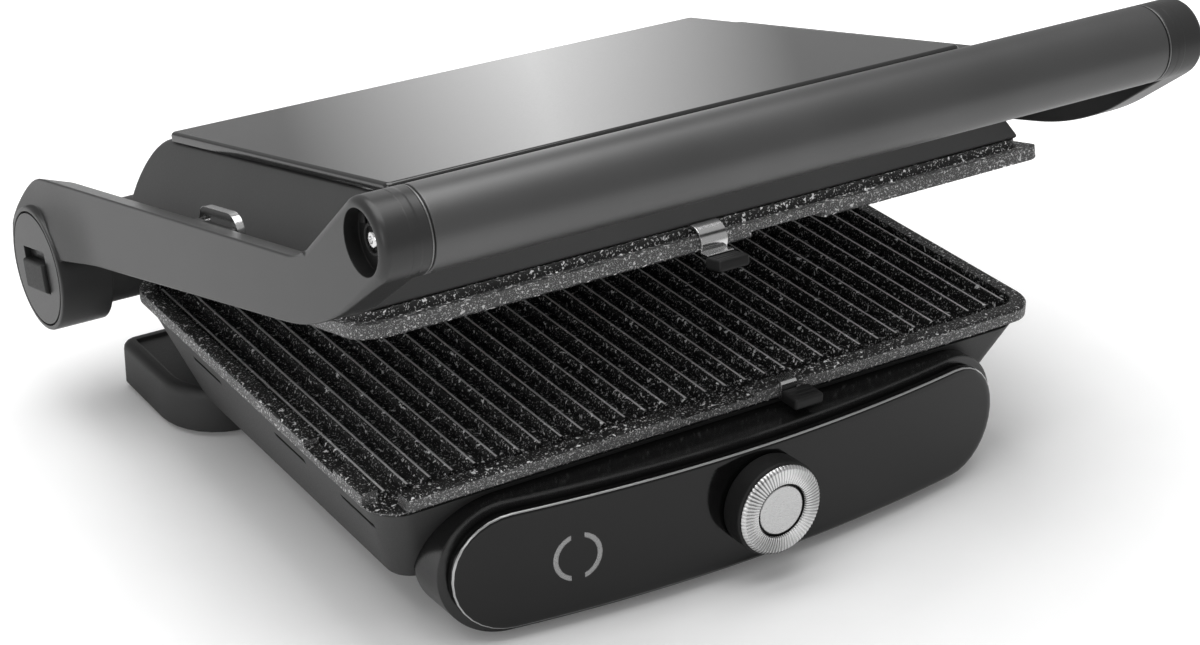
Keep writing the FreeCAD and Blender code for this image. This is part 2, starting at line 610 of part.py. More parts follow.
face_block = bowed("face_block", "0", "0", "0")
face_back = bowed("face_back", "panel_thick", "1", "1")
neck_block = bowed("neck_block", "panel_thick", "-neck_inset", "-neck_inset")
shell_block = bowed("shell_block", NECK_BACK, "housing_margin", "housing_margin")
shell_hollow = bowed("shell_hollow", NECK_BACK + " + wall", "housing_margin - wall", "housing_margin - wall")
shell_back = box("shell_back", "-panel_width", "housing_depth", "-panel_height", "2 * panel_width",
                 "2 * housing_depth", "2 * panel_height")
shaft_bore = cylinder("shaft_bore", "Y", "neck_radius + fixed_gap", "housing_depth", "knob_x",
                      "-housing_depth / 2", "knob_z")
panel_bore = cylinder("panel_bore", "Y", "neck_radius + slide_gap", "housing_depth", "knob_x",
                      "-housing_depth / 2", "knob_z")
guide_bore = cylinder("guide_bore", "Y", "lamp_radius + 1", "housing_depth", "lamp_x", "-housing_depth / 2",
                      "0")
lamp_outer = cylinder("lamp_outer", "Y", "lamp_radius", "housing_depth", "lamp_x", "-housing_depth / 2", "0")
lamp_inner = cylinder("lamp_inner", "Y", "lamp_radius - lamp_band", "housing_depth", "lamp_x",
                      "-housing_depth / 2", "0")
lamp_split = box("lamp_split", "lamp_x - lamp_gap / 2", "-housing_depth / 2", "-2 * lamp_radius", "lamp_gap",
                 "housing_depth", "4 * lamp_radius")
lamp_arcs = cut("lamp_arcs", lamp_outer, [lamp_inner, lamp_split])
shell = cut("shell", fuse("shell_fused", [shell_block, neck_block]),
            [shell_hollow, shell_back, shaft_bore, guide_bore])
node("control_panel", cut("face", face_block, [face_back, panel_bore, lamp_arcs]), "panel")
proud_block = bowed("proud_block", "-lamp_proud", "0", "0")
node("lamp_ring", common("lamp_light", [cut("lamp_band_block", proud_block, [face_back]), lamp_arcs]), "panel")

LAMP_SET = "(lamp_x * lamp_x / (2 * bow_radius))"
guide = cylinder("guide", "Y", "lamp_radius + 1 - slide_gap", "guide_length", "lamp_x",
                 f"panel_thick + {LAMP_SET} + lamp_gap / 4", "0")
board = box("board", "lamp_x - board_width / 2", f"panel_thick + {LAMP_SET} + lamp_gap / 4 + guide_length",
            "-board_height / 2", "board_width", "board_thick", "board_height")
node("lamp_board", fuse("lamp_board_fused", [guide, board]), "panel")

BODY_Y = f"({NECK_BACK} + wall + slide_gap)"
thermostat_case = box("thermostat_case", "knob_x - thermostat_width / 2", BODY_Y,
                      "knob_z - thermostat_height / 2", "thermostat_width", "thermostat_depth",
                      "thermostat_height")
thermostat_neck = cylinder("thermostat_neck", "Y", "neck_radius", f"{BODY_Y} - slide_gap", "knob_x",
                           "slide_gap", "knob_z")
thermostat_bore = cylinder("thermostat_bore", "Y", "shaft_radius + running_gap",
                           f"{BODY_Y} + thermostat_depth / 2", "knob_x", "0", "knob_z")
node("thermostat", cut("thermostat_bored", fuse("thermostat_fused", [thermostat_case, thermostat_neck]),
                       [thermostat_bore]), "panel")

# Knob, from the panel outwards
KNOB_FRONT = "(-knob_gap - knob_height)"
knob_drum = cylinder("knob_drum", "Y", "knob_radius", "knob_height", "knob_x", KNOB_FRONT, "knob_z")
knob_bore = cylinder("knob_bore", "Y", "shaft_radius + fixed_gap", "shaft_grip", "knob_x",
                     "-knob_gap - shaft_grip", "knob_z")
node("knob_body", cut("knob_bored", knob_drum, [knob_bore]), "panel")
ring_disc = cylinder("ring_disc", "Y", "ring_radius", "ring_height", "knob_x", f"{KNOB_FRONT} - ring_height",
                     "knob_z")
ring_cone = doc.addObject("Part::Cone", "ring_cone")
bind(ring_cone, "Radius1", "ring_radius - ring_bevel")
bind(ring_cone, "Radius2", "ring_radius - ring_bevel + ring_height")
bind(ring_cone, "Height", "ring_height")
ring_cone.Placement = Placement(Vector(), AXIS_TURN["Y"])
put(ring_cone, "knob_x", f"{KNOB_FRONT} - ring_height", "knob_z")
ring_hole = cylinder("ring_hole", "Y", "ring_inner", "ring_height", "knob_x", f"{KNOB_FRONT} - ring_height",
                     "knob_z")
node("knob_ring", cut("ring_bevelled", common("ring_solid", [ring_disc, ring_cone]), [ring_hole]), "panel")
node("knob_cap", group("cap_group", [cylinder("cap", "Y", "cap_radius", "cap_height", "knob_x",
                                              f"{KNOB_FRONT} - cap_height", "knob_z")]), "panel")
node("thermostat_shaft", group("shaft_group", [cylinder(
    "shaft", "Y", "shaft_radius", f"{BODY_Y} + thermostat_depth / 2 + knob_gap + shaft_grip - slide_gap",
    "knob_x", "-knob_gap - shaft_grip", "knob_z")]), "panel")


# Wiring points inside the tub

node("terminal_block", group("block_group", [box("block", "block_x - block_width / 2", "hatch_y", TUB_BOTTOM,
                                                 "block_width", "block_depth", "block_height")]), "base")
gland_tube = cylinder("gland_tube", "Y", "gland_radius", "gland_length",
                      "gland_x", "plate_depth / 2 - tub_inset - tub_lean - gland_lip", "-gland_drop")
gland_collar = cylinder("gland_collar", "Y", "gland_flange", "tub_lean", "gland_x",
                        "plate_depth / 2 - tub_inset - tub_lean", "-gland_drop")
gland_trim = cut("gland_trim", gland_collar, [tub_form])
node("cord_gland", fuse("gland", [gland_tube, gland_trim]), "base")


# Arms, covers and release lever

def tangent_point(y, z, side):
    """Where a line from y, z touches the cap round the handle tube: above it for side 1, below it for -1."""
    run, rise = y - S.tube_y, S.tube_z - z
    climb = math.atan2(rise, run) + side * math.asin(S.tube_radius / math.hypot(run, rise))
    return S.tube_y + side * S.tube_radius * math.sin(climb), S.tube_z + side * S.tube_radius * math.cos(climb)


def arm_outline():
    """Side view of an arm: a long beam from the drum, rising at the front to the handle tube."""
    rear_y = S.hinge_y + S.drum_radius - S.arm_rear_radius - S.arm_rear_set
    rear_z = S.arm_top - S.arm_rear_radius
    return [(rear_y + S.arm_rear_radius, S.arm_top, S.arm_rear_radius),
            (S.bend_y, S.arm_top, S.bend_radius),
            (*tangent_point(S.bend_y, S.arm_top, 1), 0),
            (S.tube_y, S.tube_z, 0),
            (*tangent_point(S.bend_low_y, S.arm_low_front, -1), 0),
            (S.bend_low_y, S.arm_low_front, S.bend_low_radius),
            (S.hinge_y - S.drum_radius, S.arm_low, 0),
            (S.hinge_y, S.hinge_z, 0),
            (rear_y + S.arm_rear_radius, min(S.hinge_z, rear_z), 0)]


def x_rod(side, near, far, y, z, radius):
    """Cylinder along X between two distances from the middle."""
    return Part.makeCylinder(radius, far - near, Vector(side * near, y, z), Vector(side, 0, 0))


def x_block(side, near, far, y_low, y_high, z_low, z_high):
    corner = Vector(min(side * near, side * far), y_low, z_low)
    return Part.makeBox(far - near, y_high - y_low, z_high - z_low, corner)


LEVER_DEPTH = S.disc_thick + S.lever_flange_thick + 2 * S.slide_gap


def lever_room(side, margin, near, far):
    """Room that the lever needs over its travel, with a margin all round."""
    half_w = S.lever_width / 2 + margin
    low = S.hinge_z + S.lever_z - S.lever_height / 2 - margin
    return x_block(side, near, far, S.hinge_y - half_w, S.hinge_y + half_w, low,
                   low + S.lever_height + 2 * margin + S.lever_travel)


def top_wedge(side):
    """What is cut from a beam's top, so that it falls towards the lid; it runs out before the front bend."""
    reach = S.arm_thick + S.arm_pad
    wires = []
    for y, share in ((S.bend_y + S.bend_radius / 2, 0.01), (S.bend_y + 2 * S.bend_radius, 1),
                     (S.hinge_y + S.drum_radius, 1)):
        inner = side * (S.arm_outer - reach * share)
        drop = S.arm_fall * share * reach / S.arm_thick
        edge = Vector(side * S.arm_outer, y, S.arm_top)
        wires.append(Part.makePolygon([edge, Vector(inner, y, S.arm_top - drop),
                                       Vector(inner, y, S.arm_top + share), edge]))
    return Part.makeLoft(wires[:2], True, True).fuse(Part.makeLoft(wires[1:], True, True))


def make_arm(side, with_lever):
    low_x, high_x = sorted((side * S.arm_inner, side * S.arm_outer))
    beam = side_prism(arm_outline(), low_x, high_x)
    seam = S.tube_length / 2
    pad_half = S.loop_width / 2
    loop_back = S.loop_face + S.loop_thick
    arm = beam.multiFuse([
        x_rod(side, S.drum_inner, S.drum_outer, S.hinge_y, S.hinge_z, S.drum_radius),
        x_rod(side, seam, S.arm_outer, S.tube_y, S.tube_z, S.tube_radius),
        x_rod(side, seam - S.spigot_length, seam + 1, S.tube_y, S.tube_z,
              S.tube_radius - S.tube_wall - S.fixed_gap),
        x_block(side, loop_back, S.arm_inner + 1, S.float_y - pad_half, S.float_y + pad_half, S.loop_bottom,
                S.arm_top - S.arm_fall - 1)])
    rod_end = S.arm_outer - S.rod_inset
    pocket_floor = S.arm_outer - S.pocket_depth
    tools = [
        x_rod(side, S.drum_inner, S.drum_inner + S.bush_length, S.hinge_y, S.hinge_z,
              S.hinge_pin_radius + S.running_gap + S.bush_wall + S.fixed_gap),
        x_rod(side, S.drum_inner, S.drum_inner + S.bush_length + S.slide_gap, S.hinge_y, S.hinge_z,
              S.hinge_pin_radius + S.running_gap),
        x_rod(side, S.drum_outer - S.disc_thick, S.drum_outer, S.hinge_y, S.hinge_z,
              S.disc_radius + S.fixed_gap),
        x_rod(side, pocket_floor, S.arm_outer, S.tube_y, S.tube_z, S.pocket_radius),
        x_rod(side, seam - S.spigot_length, pocket_floor, S.tube_y, S.tube_z, S.rod_radius + S.fixed_gap)]
    tools.append(top_wedge(side))
    if with_lever:
        tools.append(lever_room(side, S.lever_flange + S.slide_gap, S.drum_outer - LEVER_DEPTH, S.drum_outer))
    return arm.cut(tools).removeSplitter(), rod_end, pocket_floor


for side_name, side in SIDES:
    arm_shape, rod_end, pocket_floor = make_arm(side, with_lever=side < 0)
    node(f"{side_name}_arm", shape_feature(f"{side_name}_arm_solid", arm_shape), "arms")
    disc = x_rod(side, S.drum_outer - S.disc_thick, S.drum_outer, S.hinge_y, S.hinge_z, S.disc_radius)
    if side < 0:
        disc = disc.cut(lever_room(side, S.slide_gap, S.drum_outer - S.disc_thick, S.drum_outer))
    else:
        plug = x_rod(side, S.drum_outer - 1, S.drum_outer + S.lever_proud, S.hinge_y, S.hinge_z, S.plug_radius)
        disc = disc.fuse(plug).removeSplitter()
    node(f"{side_name}_pivot_cover", shape_feature(f"{side_name}_disc", disc), "arms")
    bush_x, bush_span = across(side, "drum_inner", "drum_inner + bush_length")
    bush_outer = cylinder(f"bush_outer_{side_name}", "X", "hinge_pin_radius + running_gap + bush_wall",
                          bush_span, bush_x, "hinge_y", "hinge_z")
    bush_inner = cylinder(f"bush_inner_{side_name}", "X", "hinge_pin_radius + running_gap", bush_span, bush_x,
                          "hinge_y", "hinge_z")
    node(f"hinge_bush_{side_name}", cut(f"bush_{side_name}", bush_outer, [bush_inner]), "arms")

lever_face = S.drum_outer - S.disc_thick
lever_low = S.hinge_z + S.lever_z - S.lever_height / 2
lever_pad = x_block(-1, lever_face - S.slide_gap - S.lever_flange_thick, S.drum_outer + S.lever_proud,
                    S.hinge_y - S.lever_width / 2, S.hinge_y + S.lever_width / 2, lever_low,
                    lever_low + S.lever_height)
lever_lip = x_block(-1, lever_face - S.slide_gap - S.lever_flange_thick, lever_face - S.slide_gap,
                    S.hinge_y - S.lever_width / 2 - S.lever_flange,
                    S.hinge_y + S.lever_width / 2 + S.lever_flange, lever_low - S.lever_flange,
                    lever_low + S.lever_height + S.lever_flange)
node("release_lever", shape_feature("lever", lever_pad.fuse(lever_lip).removeSplitter()), "arms")


# Cross handle: tube, tie rod and end screws

tube_outer = cylinder("tube_outer", "X", "tube_radius", "tube_length", "-tube_length / 2", "tube_y", "tube_z")
tube_bore = cylinder("tube_bore", "X", "tube_radius - tube_wall", "tube_length", "-tube_length / 2", "tube_y",
                     "tube_z")
node("handle_tube", cut("tube", tube_outer, [tube_bore]), "arms")
node("tie_rod", group("rod_group", [cylinder("rod", "X", "rod_radius", "2 * (arm_outer - rod_inset)",
                                             "rod_inset - arm_outer", "tube_y", "tube_z")]), "arms")
handle_screws = []
for side_name, side in SIDES:
    stem_x, stem_span = across(side, "arm_outer - rod_inset", "arm_outer - pocket_depth")
    cap_x, cap_span = across(side, "arm_outer - pocket_depth", "arm_outer - pocket_depth + handle_screw_height")
    stem = cylinder(f"handle_stem_{side_name}", "X", "rod_radius", stem_span, stem_x, "tube_y", "tube_z")
    head = cylinder(f"handle_head_{side_name}", "X", "handle_screw_radius", cap_span, cap_x, "tube_y", "tube_z")
    handle_screws.append(fuse(f"handle_screw_{side_name}", [stem, head]))
node("handle_screws", group("handle_screw_group", handle_screws), "arms")


# Float loops on the arms, sliders in them, and the lid's pins

LOOP_HEIGHT = "(loop_top - loop_bottom)"
for side_name, side in SIDES:
    loop = new_body(f"loop_{side_name}")
    middle = "(loop_top + loop_bottom) / 2"
    face_x = f"{side} * (loop_face + loop_thick / 2)"
    outer = rounded_sketch(loop, f"loop_outer_{side_name}", "YZ_Plane", "loop_width", LOOP_HEIGHT,
                           "loop_corner", x="float_y", y=middle, z=face_x)
    feature(loop, "Pad", f"loop_plate_{side_name}", outer, "loop_thick", symmetric=True)
    inner = rounded_sketch(loop, f"loop_inner_{side_name}", "YZ_Plane", "loop_width - 2 * loop_band",
                           f"{LOOP_HEIGHT} - 2 * loop_band", "loop_corner - loop_band", x="float_y", y=middle,
                           z=face_x)
    feature(loop, "Pocket", f"loop_hole_{side_name}", inner, "2 * loop_thick", symmetric=True)
    node(f"float_loop_{side_name}", loop, "arms")

    runner = "loop_face - slide_gap - slider_flange"
    block_x, block_span = across(side, runner, "loop_face + loop_thick - slide_gap")
    run = "loop_width - 2 * loop_band - 2 * slide_gap"
    slider = new_body(f"slider_{side_name}")
    block = rounded_sketch(slider, f"slider_face_{side_name}", "YZ_Plane", run, "slider_height",
                           "loop_corner - loop_band", x="float_y", y=PIN_Z, z=block_x)
    feature(slider, "Pad", f"slider_block_{side_name}", block, block_span)
    lip_x, lip_span = across(side, runner, "loop_face - slide_gap")
    lip = rounded_sketch(slider, f"slider_edge_{side_name}", "YZ_Plane", f"{run} + 2 * flange_lap",
                         "slider_height + 2 * flange_lap", "loop_corner - loop_band + flange_lap", x="float_y",
                         y=PIN_Z, z=lip_x)
    feature(slider, "Pad", f"slider_lip_{side_name}", lip, lip_span)
    slider_bore = cylinder(f"slider_bore_{side_name}", "X", "lid_pin_radius + running_gap", block_span, block_x,
                           "float_y", PIN_Z)
    node(f"float_slider_{side_name}", cut(f"slider_bored_{side_name}", slider, [slider_bore]), "arms")
    pin_x, pin_span = across(side, "lid_pin_inner", "loop_face + loop_thick - 2 * slide_gap")
    node(f"lid_pin_{side_name}", group(f"lid_pin_group_{side_name}", [cylinder(
        f"lid_pin_rod_{side_name}", "X", "lid_pin_radius", pin_span, pin_x, "float_y", PIN_Z)]), "lid")


# Lid housing: the overlap of its side view and its front view, hollowed from below

def lid_side_view(inset, bottom):
    base = S.parting_gap + S.rim_height + S.plate_floor
    top = base + S.lid_height - inset
    front = -S.plate_depth / 2 + S.lid_front_inset + inset
    rear = S.plate_depth / 2
    return [(front, bottom, 0), (S.glass_front_y + S.glass_lip + inset, top, 0),
            (S.lid_rear_y - inset, top, S.lid_rear_radius - inset),
            (S.lid_rear_y - inset, base + S.lid_rear_low + inset / 2, 0), (rear - inset, base + inset / 2, 0),
            (rear - inset, bottom, 0)]


def make_lid_form(name, inset, drop):
    """Solid form of the lid with its walls moved in by inset and its underside lowered by drop."""
    bottom = S.parting_gap + S.rim_height + S.plate_floor - drop
    half = S.plate_width / 2
    side = shape_feature(name + "_side", side_prism(lid_side_view(inset, bottom), -half, half))
    front = new_body(name + "_front")
    view = trapezoid_sketch(front, name + "_view", "XZ_Plane", f"plate_width - 2 * lid_inset - 2 * {inset}",
                            f"glass_width - 2 * glass_lip - 2 * {inset}", f"lid_height - {inset}", y=LID_BOTTOM)
    feature(front, "Pad", name + "_pad", view, "4 * lid_rear_y", symmetric=True)
    return common(name, [side, front])


lid_form = make_lid_form("lid_form", 0, 0)
lid_hollow = make_lid_form("lid_hollow", S.wall, 0)
lid_bosses = []
lid_bores = []
for side_name, side in SIDES:
    boss_x, boss_span = across(side, "lid_boss_inner", "plate_width / 2 - lid_inset")
    boss = cylinder(f"lid_boss_{side_name}", "X", "lid_boss_radius", boss_span, boss_x, "float_y", PIN_Z)
    lid_bosses.append(common(f"lid_boss_trim_{side_name}", [boss, lid_form]))
    bore_x, bore_span = across(side, "lid_pin_inner", "plate_width / 2")
    lid_bores.append(cylinder(f"lid_bore_{side_name}", "X", "lid_pin_radius + fixed_gap", bore_span, bore_x,
                              "float_y", PIN_Z))
lid_shell = cut("lid_shell", lid_form, [lid_hollow])
node("lid_housing", cut("lid_drilled", fuse("lid_bossed", [lid_shell] + lid_bosses), lid_bores), "lid")

glass = new_body("glass")
feature(glass, "Pad", "glass_sheet", rounded_sketch(
    glass, "glass_outline", "XY_Plane", "glass_width", "glass_rear_y - glass_front_y", "glass_corner",
    y="(glass_rear_y + glass_front_y) / 2", z=LID_TOP), "glass_thick")
node("lid_glass", glass, "lid")


# Resting places

def frames():
    """Where each group of pieces rests, relative to the working frame."""
    swing = Placement(Vector(), Rotation(Vector(1, 0, 0), -S.rest_opening), Vector(0, S.hinge_y, S.hinge_z))
    panel = Placement(Vector(0, S.panel_y, S.panel_z), Rotation(Vector(1, 0, 0), -S.panel_tilt))
    floor = S.rim_height + S.plate_floor
    flipped = Placement(Vector(0, 0, S.parting_gap), Rotation(Vector(0, 1, 0), 180))
    raised = Placement(Vector(0, 0, S.parting_gap + floor), Rotation(Vector(0, 1, 0), 180))
    return {"base": Placement(), "under_lower_plate": Placement(Vector(0, 0, -floor), Rotation()),
            "panel": panel, "arms": swing, "lid": swing, "upper_plate": swing.multiply(flipped),
            "over_upper_plate": swing.multiply(raised)}


doc.recompute()

# The housing's back is cut to the tub's sloping front, so the cut is made with the housing in its place
shell.Placement = frames()["panel"]
doc.recompute()
node("control_housing", cut("housing_fitted", shell, [tub_form]), "base")
doc.recompute()

resting = frames()
for label, item, frame in NODES:
    item.Placement = resting[frame].multiply(item.Placement)
doc.recompute()
span = FreeCAD.BoundBox()
for label, item, frame in NODES:
    span.add(item.Shape.BoundBox)
# The origin lies on the floor, below the middle of the whole object
origin = Placement(Vector(-span.Center.x, -span.Center.y, S.rim_to_floor), Rotation())
for label, item, frame in NODES:
    item.Placement = origin.multiply(item.Placement)
doc.recompute()

for item in doc.Objects:
    if "Invalid" in item.State or "Error" in item.State:
        raise RuntimeError(f"{item.Label} failed: {item.State}")
os.makedirs("parts", exist_ok=True)
for label, item, frame in NODES:
    if item.Shape.isNull() or not item.Shape.isValid() or not item.Shape.Solids:
        raise RuntimeError(f"{label} has no valid shape")
    item.Shape.exportStep(f"parts/{label}.step")
    print(f"{label:22s} solids {len(item.Shape.Solids)}  volume {item.Shape.Volume / 1000:9.2f} cm3")
print("origin shift", [round(value, 4) for value in origin.Base], "size", span)
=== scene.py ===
# %% [markdown]
# # A contact grill, dressed for a product picture
# The solids come from the CAD frame: every node already stands where the real piece stands, in metres, with
# +X to the user's right, +Y to the rear and +Z up.

import json
import math

import bpy
from mathutils import Matrix, Vector


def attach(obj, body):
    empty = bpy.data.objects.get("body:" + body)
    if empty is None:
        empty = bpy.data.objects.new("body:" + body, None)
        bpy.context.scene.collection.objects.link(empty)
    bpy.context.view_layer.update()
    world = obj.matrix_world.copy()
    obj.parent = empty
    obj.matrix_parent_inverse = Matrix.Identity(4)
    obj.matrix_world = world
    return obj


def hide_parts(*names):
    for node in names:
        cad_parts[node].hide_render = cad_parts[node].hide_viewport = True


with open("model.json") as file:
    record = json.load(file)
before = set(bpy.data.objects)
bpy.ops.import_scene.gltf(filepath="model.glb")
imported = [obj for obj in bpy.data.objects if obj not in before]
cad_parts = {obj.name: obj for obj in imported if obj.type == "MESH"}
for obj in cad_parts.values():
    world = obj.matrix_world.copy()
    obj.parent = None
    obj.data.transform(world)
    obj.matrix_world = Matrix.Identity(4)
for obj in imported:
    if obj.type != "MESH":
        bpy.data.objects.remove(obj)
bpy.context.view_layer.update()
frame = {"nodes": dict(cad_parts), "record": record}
scene = bpy.context.scene

# %% [markdown]
# ## Working frames
# It is easier to model with the lid shut, in millimetres from the middle of the lower plate's rim.  Three
# matrices bring such a piece to its resting place: the base only shifts, the lid and its arms also swing up
# about the hinge, and the control panel leans back a little.

# %% Frames of the base, the lid and the panel
MM = 0.001
ORIGIN_SHIFT = Vector((0, -2.9425, 74))
HINGE_Y = 148
REST_OPENING = math.radians(14.8)
PANEL_PLACE = Vector((0, -137, -40.5))
PANEL_TILT = math.radians(3)

BASE = Matrix.Scale(MM, 4) @ Matrix.Translation(ORIGIN_SHIFT)
hinge_point = Matrix.Translation(Vector((0, HINGE_Y, 0)))
LID = BASE @ hinge_point @ Matrix.Rotation(-REST_OPENING, 4, "X") @ hinge_point.inverted()
PANEL = BASE @ Matrix.Translation(PANEL_PLACE) @ Matrix.Rotation(-PANEL_TILT, 4, "X")
print("hinge at", [round(v, 4) for v in LID @ Vector((0, HINGE_Y, 0))])

# %% [markdown]
# ## Camera
# The camera was solved from the picture: the plate's corners, the hinge and the handle fix where it stood.
# It looks down at the grill's front left corner through a long lens, and it is rolled by about a degree.

# %% Camera at the picture's place
CAMERA_PLACE = Vector((-577.5, -877.4, 530.6))
CAMERA_RIGHT = Vector((0.8366, -0.5479, 0.0186))
CAMERA_BACK = Vector((-0.4932, -0.7374, 0.4614))
FOCAL_PIXELS, IMAGE_WIDTH, SENSOR_WIDTH = 2602.8, 1200, 36

back = CAMERA_BACK.normalized()
right = (CAMERA_RIGHT - back * CAMERA_RIGHT.dot(back)).normalized()
turned_axes = Matrix((right, back.cross(right), back)).transposed().to_4x4()
bpy.ops.object.select_all(action="DESELECT")
bpy.ops.object.camera_add()
camera = bpy.context.object
camera.name = "picture_camera"
camera.matrix_world = Matrix.Translation(BASE @ CAMERA_PLACE) @ turned_axes
camera.data.sensor_width = SENSOR_WIDTH
camera.data.lens = SENSOR_WIDTH * FOCAL_PIXELS / IMAGE_WIDTH
camera.data.clip_end = 50
scene.camera = camera
print("lens", round(camera.data.lens, 2), "mm")

# %% [markdown]
# ## Materials
# Nearly every surface here is dark, so the differences lie in gloss and grain.  One recipe serves most of
# them: a noise in object coordinates shifts colour and roughness a little and lifts a fine bump.  A Bevel node
# bends the normals near sharp edges, so that the CAD's corners catch a thin line of light as moulded ones do.

# %% A recipe for grained materials
def new_material(name):
    material = bpy.data.materials.new(name)
    material.use_nodes = True
    nodes, links = material.node_tree.nodes, material.node_tree.links
    coords = nodes.new("ShaderNodeTexCoord")
    return material, nodes, links, nodes["Principled BSDF"], coords.outputs["Object"]


def noise(nodes, links, coords, scale, detail=3.0):
    node = nodes.new("ShaderNodeTexNoise")
    node.inputs["Scale"].default_value = scale
    node.inputs["Detail"].default_value = detail
    links.new(coords, node.inputs["Vector"])
    return node.outputs["Fac"]


def spread(nodes, links, value, low, high, low_from=0.3, high_from=0.7):
    node = nodes.new("ShaderNodeMapRange")
    for socket, number in zip(("From Min", "From Max", "To Min", "To Max"), (low_from, high_from, low, high)):
        node.inputs[socket].default_value = number
    links.new(value, node.inputs["Value"])
    return node.outputs["Result"]


def blend(nodes, links, factor, first, second):
    node = nodes.new("ShaderNodeMix")
    node.data_type = "RGBA"
    links.new(factor, node.inputs["Factor"])
    for socket, colour in zip((node.inputs[6], node.inputs[7]), (first, second)):
        if hasattr(colour, "links"):
            links.new(colour, socket)
        else:
            socket.default_value = (*[colour] * 3, 1) if isinstance(colour, float) else (*colour, 1)
    return node.outputs[2]


def rough_normal(nodes, links, shader, height, strength, distance, soft):
    edge = nodes.new("ShaderNodeBevel")
    edge.inputs["Radius"].default_value = soft
    bump = nodes.new("ShaderNodeBump")
    bump.inputs["Strength"].default_value = strength
    bump.inputs["Distance"].default_value = distance
    links.new(height, bump.inputs["Height"])
    links.new(edge.outputs["Normal"], bump.inputs["Normal"])
    links.new(bump.outputs["Normal"], shader.inputs["Normal"])


def grained(name, dark, light, rough, metallic=0.0, scale=1400, strength=0.15, soft=0.0008, specular=0.5):
    material, nodes, links, shader, coords = new_material(name)
    grain = noise(nodes, links, coords, scale)
    cloud = noise(nodes, links, coords, 18, 2.0)
    links.new(blend(nodes, links, spread(nodes, links, cloud, 0, 1), dark, light), shader.inputs["Base Color"])
    links.new(spread(nodes, links, grain, rough - 0.05, rough + 0.05), shader.inputs["Roughness"])
    shader.inputs["Metallic"].default_value = metallic
    shader.inputs["Specular IOR Level"].default_value = specular
    rough_normal(nodes, links, shader, grain, strength, 0.0002, soft)
    return material


print("recipe for grained finishes ready")

# %% [markdown]
# ## Plastics, metals and glass
# Each finish is one call of the recipe: two close colours, a roughness, and how fine and how deep the grain is.
# Moulded plastic has a fine, shallow grain, and polished glass or a glossy panel has almost none.  The finishes
# stand in one list, so that their numbers are easy to compare.

# %% Plain finishes
arm_plastic = grained("arm_plastic", 0.020, 0.025, 0.34, scale=2200, strength=0.08, soft=0.0006)
housing_plastic = grained("housing_plastic", 0.026, 0.031, 0.52, scale=1800, strength=0.25, soft=0.0012)
lid_plastic = grained("lid_plastic", 0.038, 0.044, 0.46, scale=1800, strength=0.2, soft=0.0008)
black_plastic = grained("black_plastic", 0.008, 0.010, 0.50, scale=1500, strength=0.12, specular=0.3)
panel_gloss = grained("panel_gloss", 0.004, 0.005, 0.10, scale=400, strength=0.003, soft=0.0008, specular=0.35)
handle_metal = grained("handle_aluminium", 0.115, 0.130, 0.38, metallic=0.8, scale=2600, strength=0.05)
lid_glass = grained("lid_glass", 0.010, 0.012, 0.10, scale=900, strength=0.003, soft=0.0004, specular=0.8)
bright_steel = grained("bright_steel", 0.72, 0.78, 0.16, metallic=1.0, scale=700, strength=0.03, soft=0.0005)
plain_steel = grained("steel", 0.40, 0.46, 0.35, metallic=1.0, scale=900, strength=0.08)
reflector_sheet = grained("reflector_sheet", 0.55, 0.62, 0.30, metallic=1.0, scale=500, strength=0.05)
inner_plastic = grained("inner_plastic", 0.30, 0.34, 0.55, scale=900, strength=0.1)
lamp_lens = grained("lamp_lens", 0.30, 0.36, 0.28, metallic=0.7, scale=300, strength=0.02, soft=0.0008)
# Panel edge finish: pale metal that paints the highlight line round the glossy black panel.
panel_edge_highlight = grained("panel_edge_highlight", 0.45, 0.50, 0.22, metallic=0.7, scale=400, strength=0.01, soft=0.0003)
seam_metal = grained("seam_metal", 0.20, 0.24, 0.35, metallic=0.9, scale=900, strength=0.02, soft=0.0003)
housing_gloss = grained("housing_gloss", 0.010, 0.013, 0.20, scale=900, strength=0.01, soft=0.0016)
foot_rubber = grained("foot_rubber", 0.014, 0.018, 0.75, scale=1100, strength=0.3)
print(len(bpy.data.materials), "materials so far")

# %% [markdown]
# ## Speckled coating and brushed metal
# The plates wear a granite-like coating: two sizes of pale specks on near black.  The rim is a little paler.
# The crests of the ribs are much paler: partly wear, partly a painted highlight along them.  Both are lighter
# versions of the same recipe.  The knob's disc is brushed: a noise that is stretched along one axis turns into
# fine parallel lines.

# %% Speckled and brushed materials
def speckled(name, ground, speck, amount, rough, finer=1.0):
    material, nodes, links, shader, coords = new_material(name)
    fine = noise(nodes, links, coords, 1150 * finer, 2.0)
    coarse = noise(nodes, links, coords, 480 * finer, 2.0)
    small = spread(nodes, links, fine, 0, 1, 0.66 - amount, 0.70 - amount)
    large = spread(nodes, links, coarse, 0, 1, 0.70 - amount, 0.73 - amount)
    first = blend(nodes, links, small, ground, speck * 0.6)
    links.new(blend(nodes, links, large, first, speck), shader.inputs["Base Color"])
    links.new(spread(nodes, links, fine, rough - 0.06, rough + 0.06), shader.inputs["Roughness"])
    rough_normal(nodes, links, shader, fine, 0.2, 0.0002, 0.0006)
    return material


def brushed(name, dark, light, stretch):
    material, nodes, links, shader, coords = new_material(name)
    mapping = nodes.new("ShaderNodeMapping")
    mapping.inputs["Scale"].default_value = stretch
    links.new(coords, mapping.inputs["Vector"])
    lines = noise(nodes, links, mapping.outputs["Vector"], 1.0, 4.0)
    links.new(blend(nodes, links, spread(nodes, links, lines, 0, 1), dark, light), shader.inputs["Base Color"])
    links.new(spread(nodes, links, lines, 0.22, 0.36), shader.inputs["Roughness"])
    shader.inputs["Metallic"].default_value = 1.0
    rough_normal(nodes, links, shader, lines, 0.15, 0.0002, 0.0004)
    return material


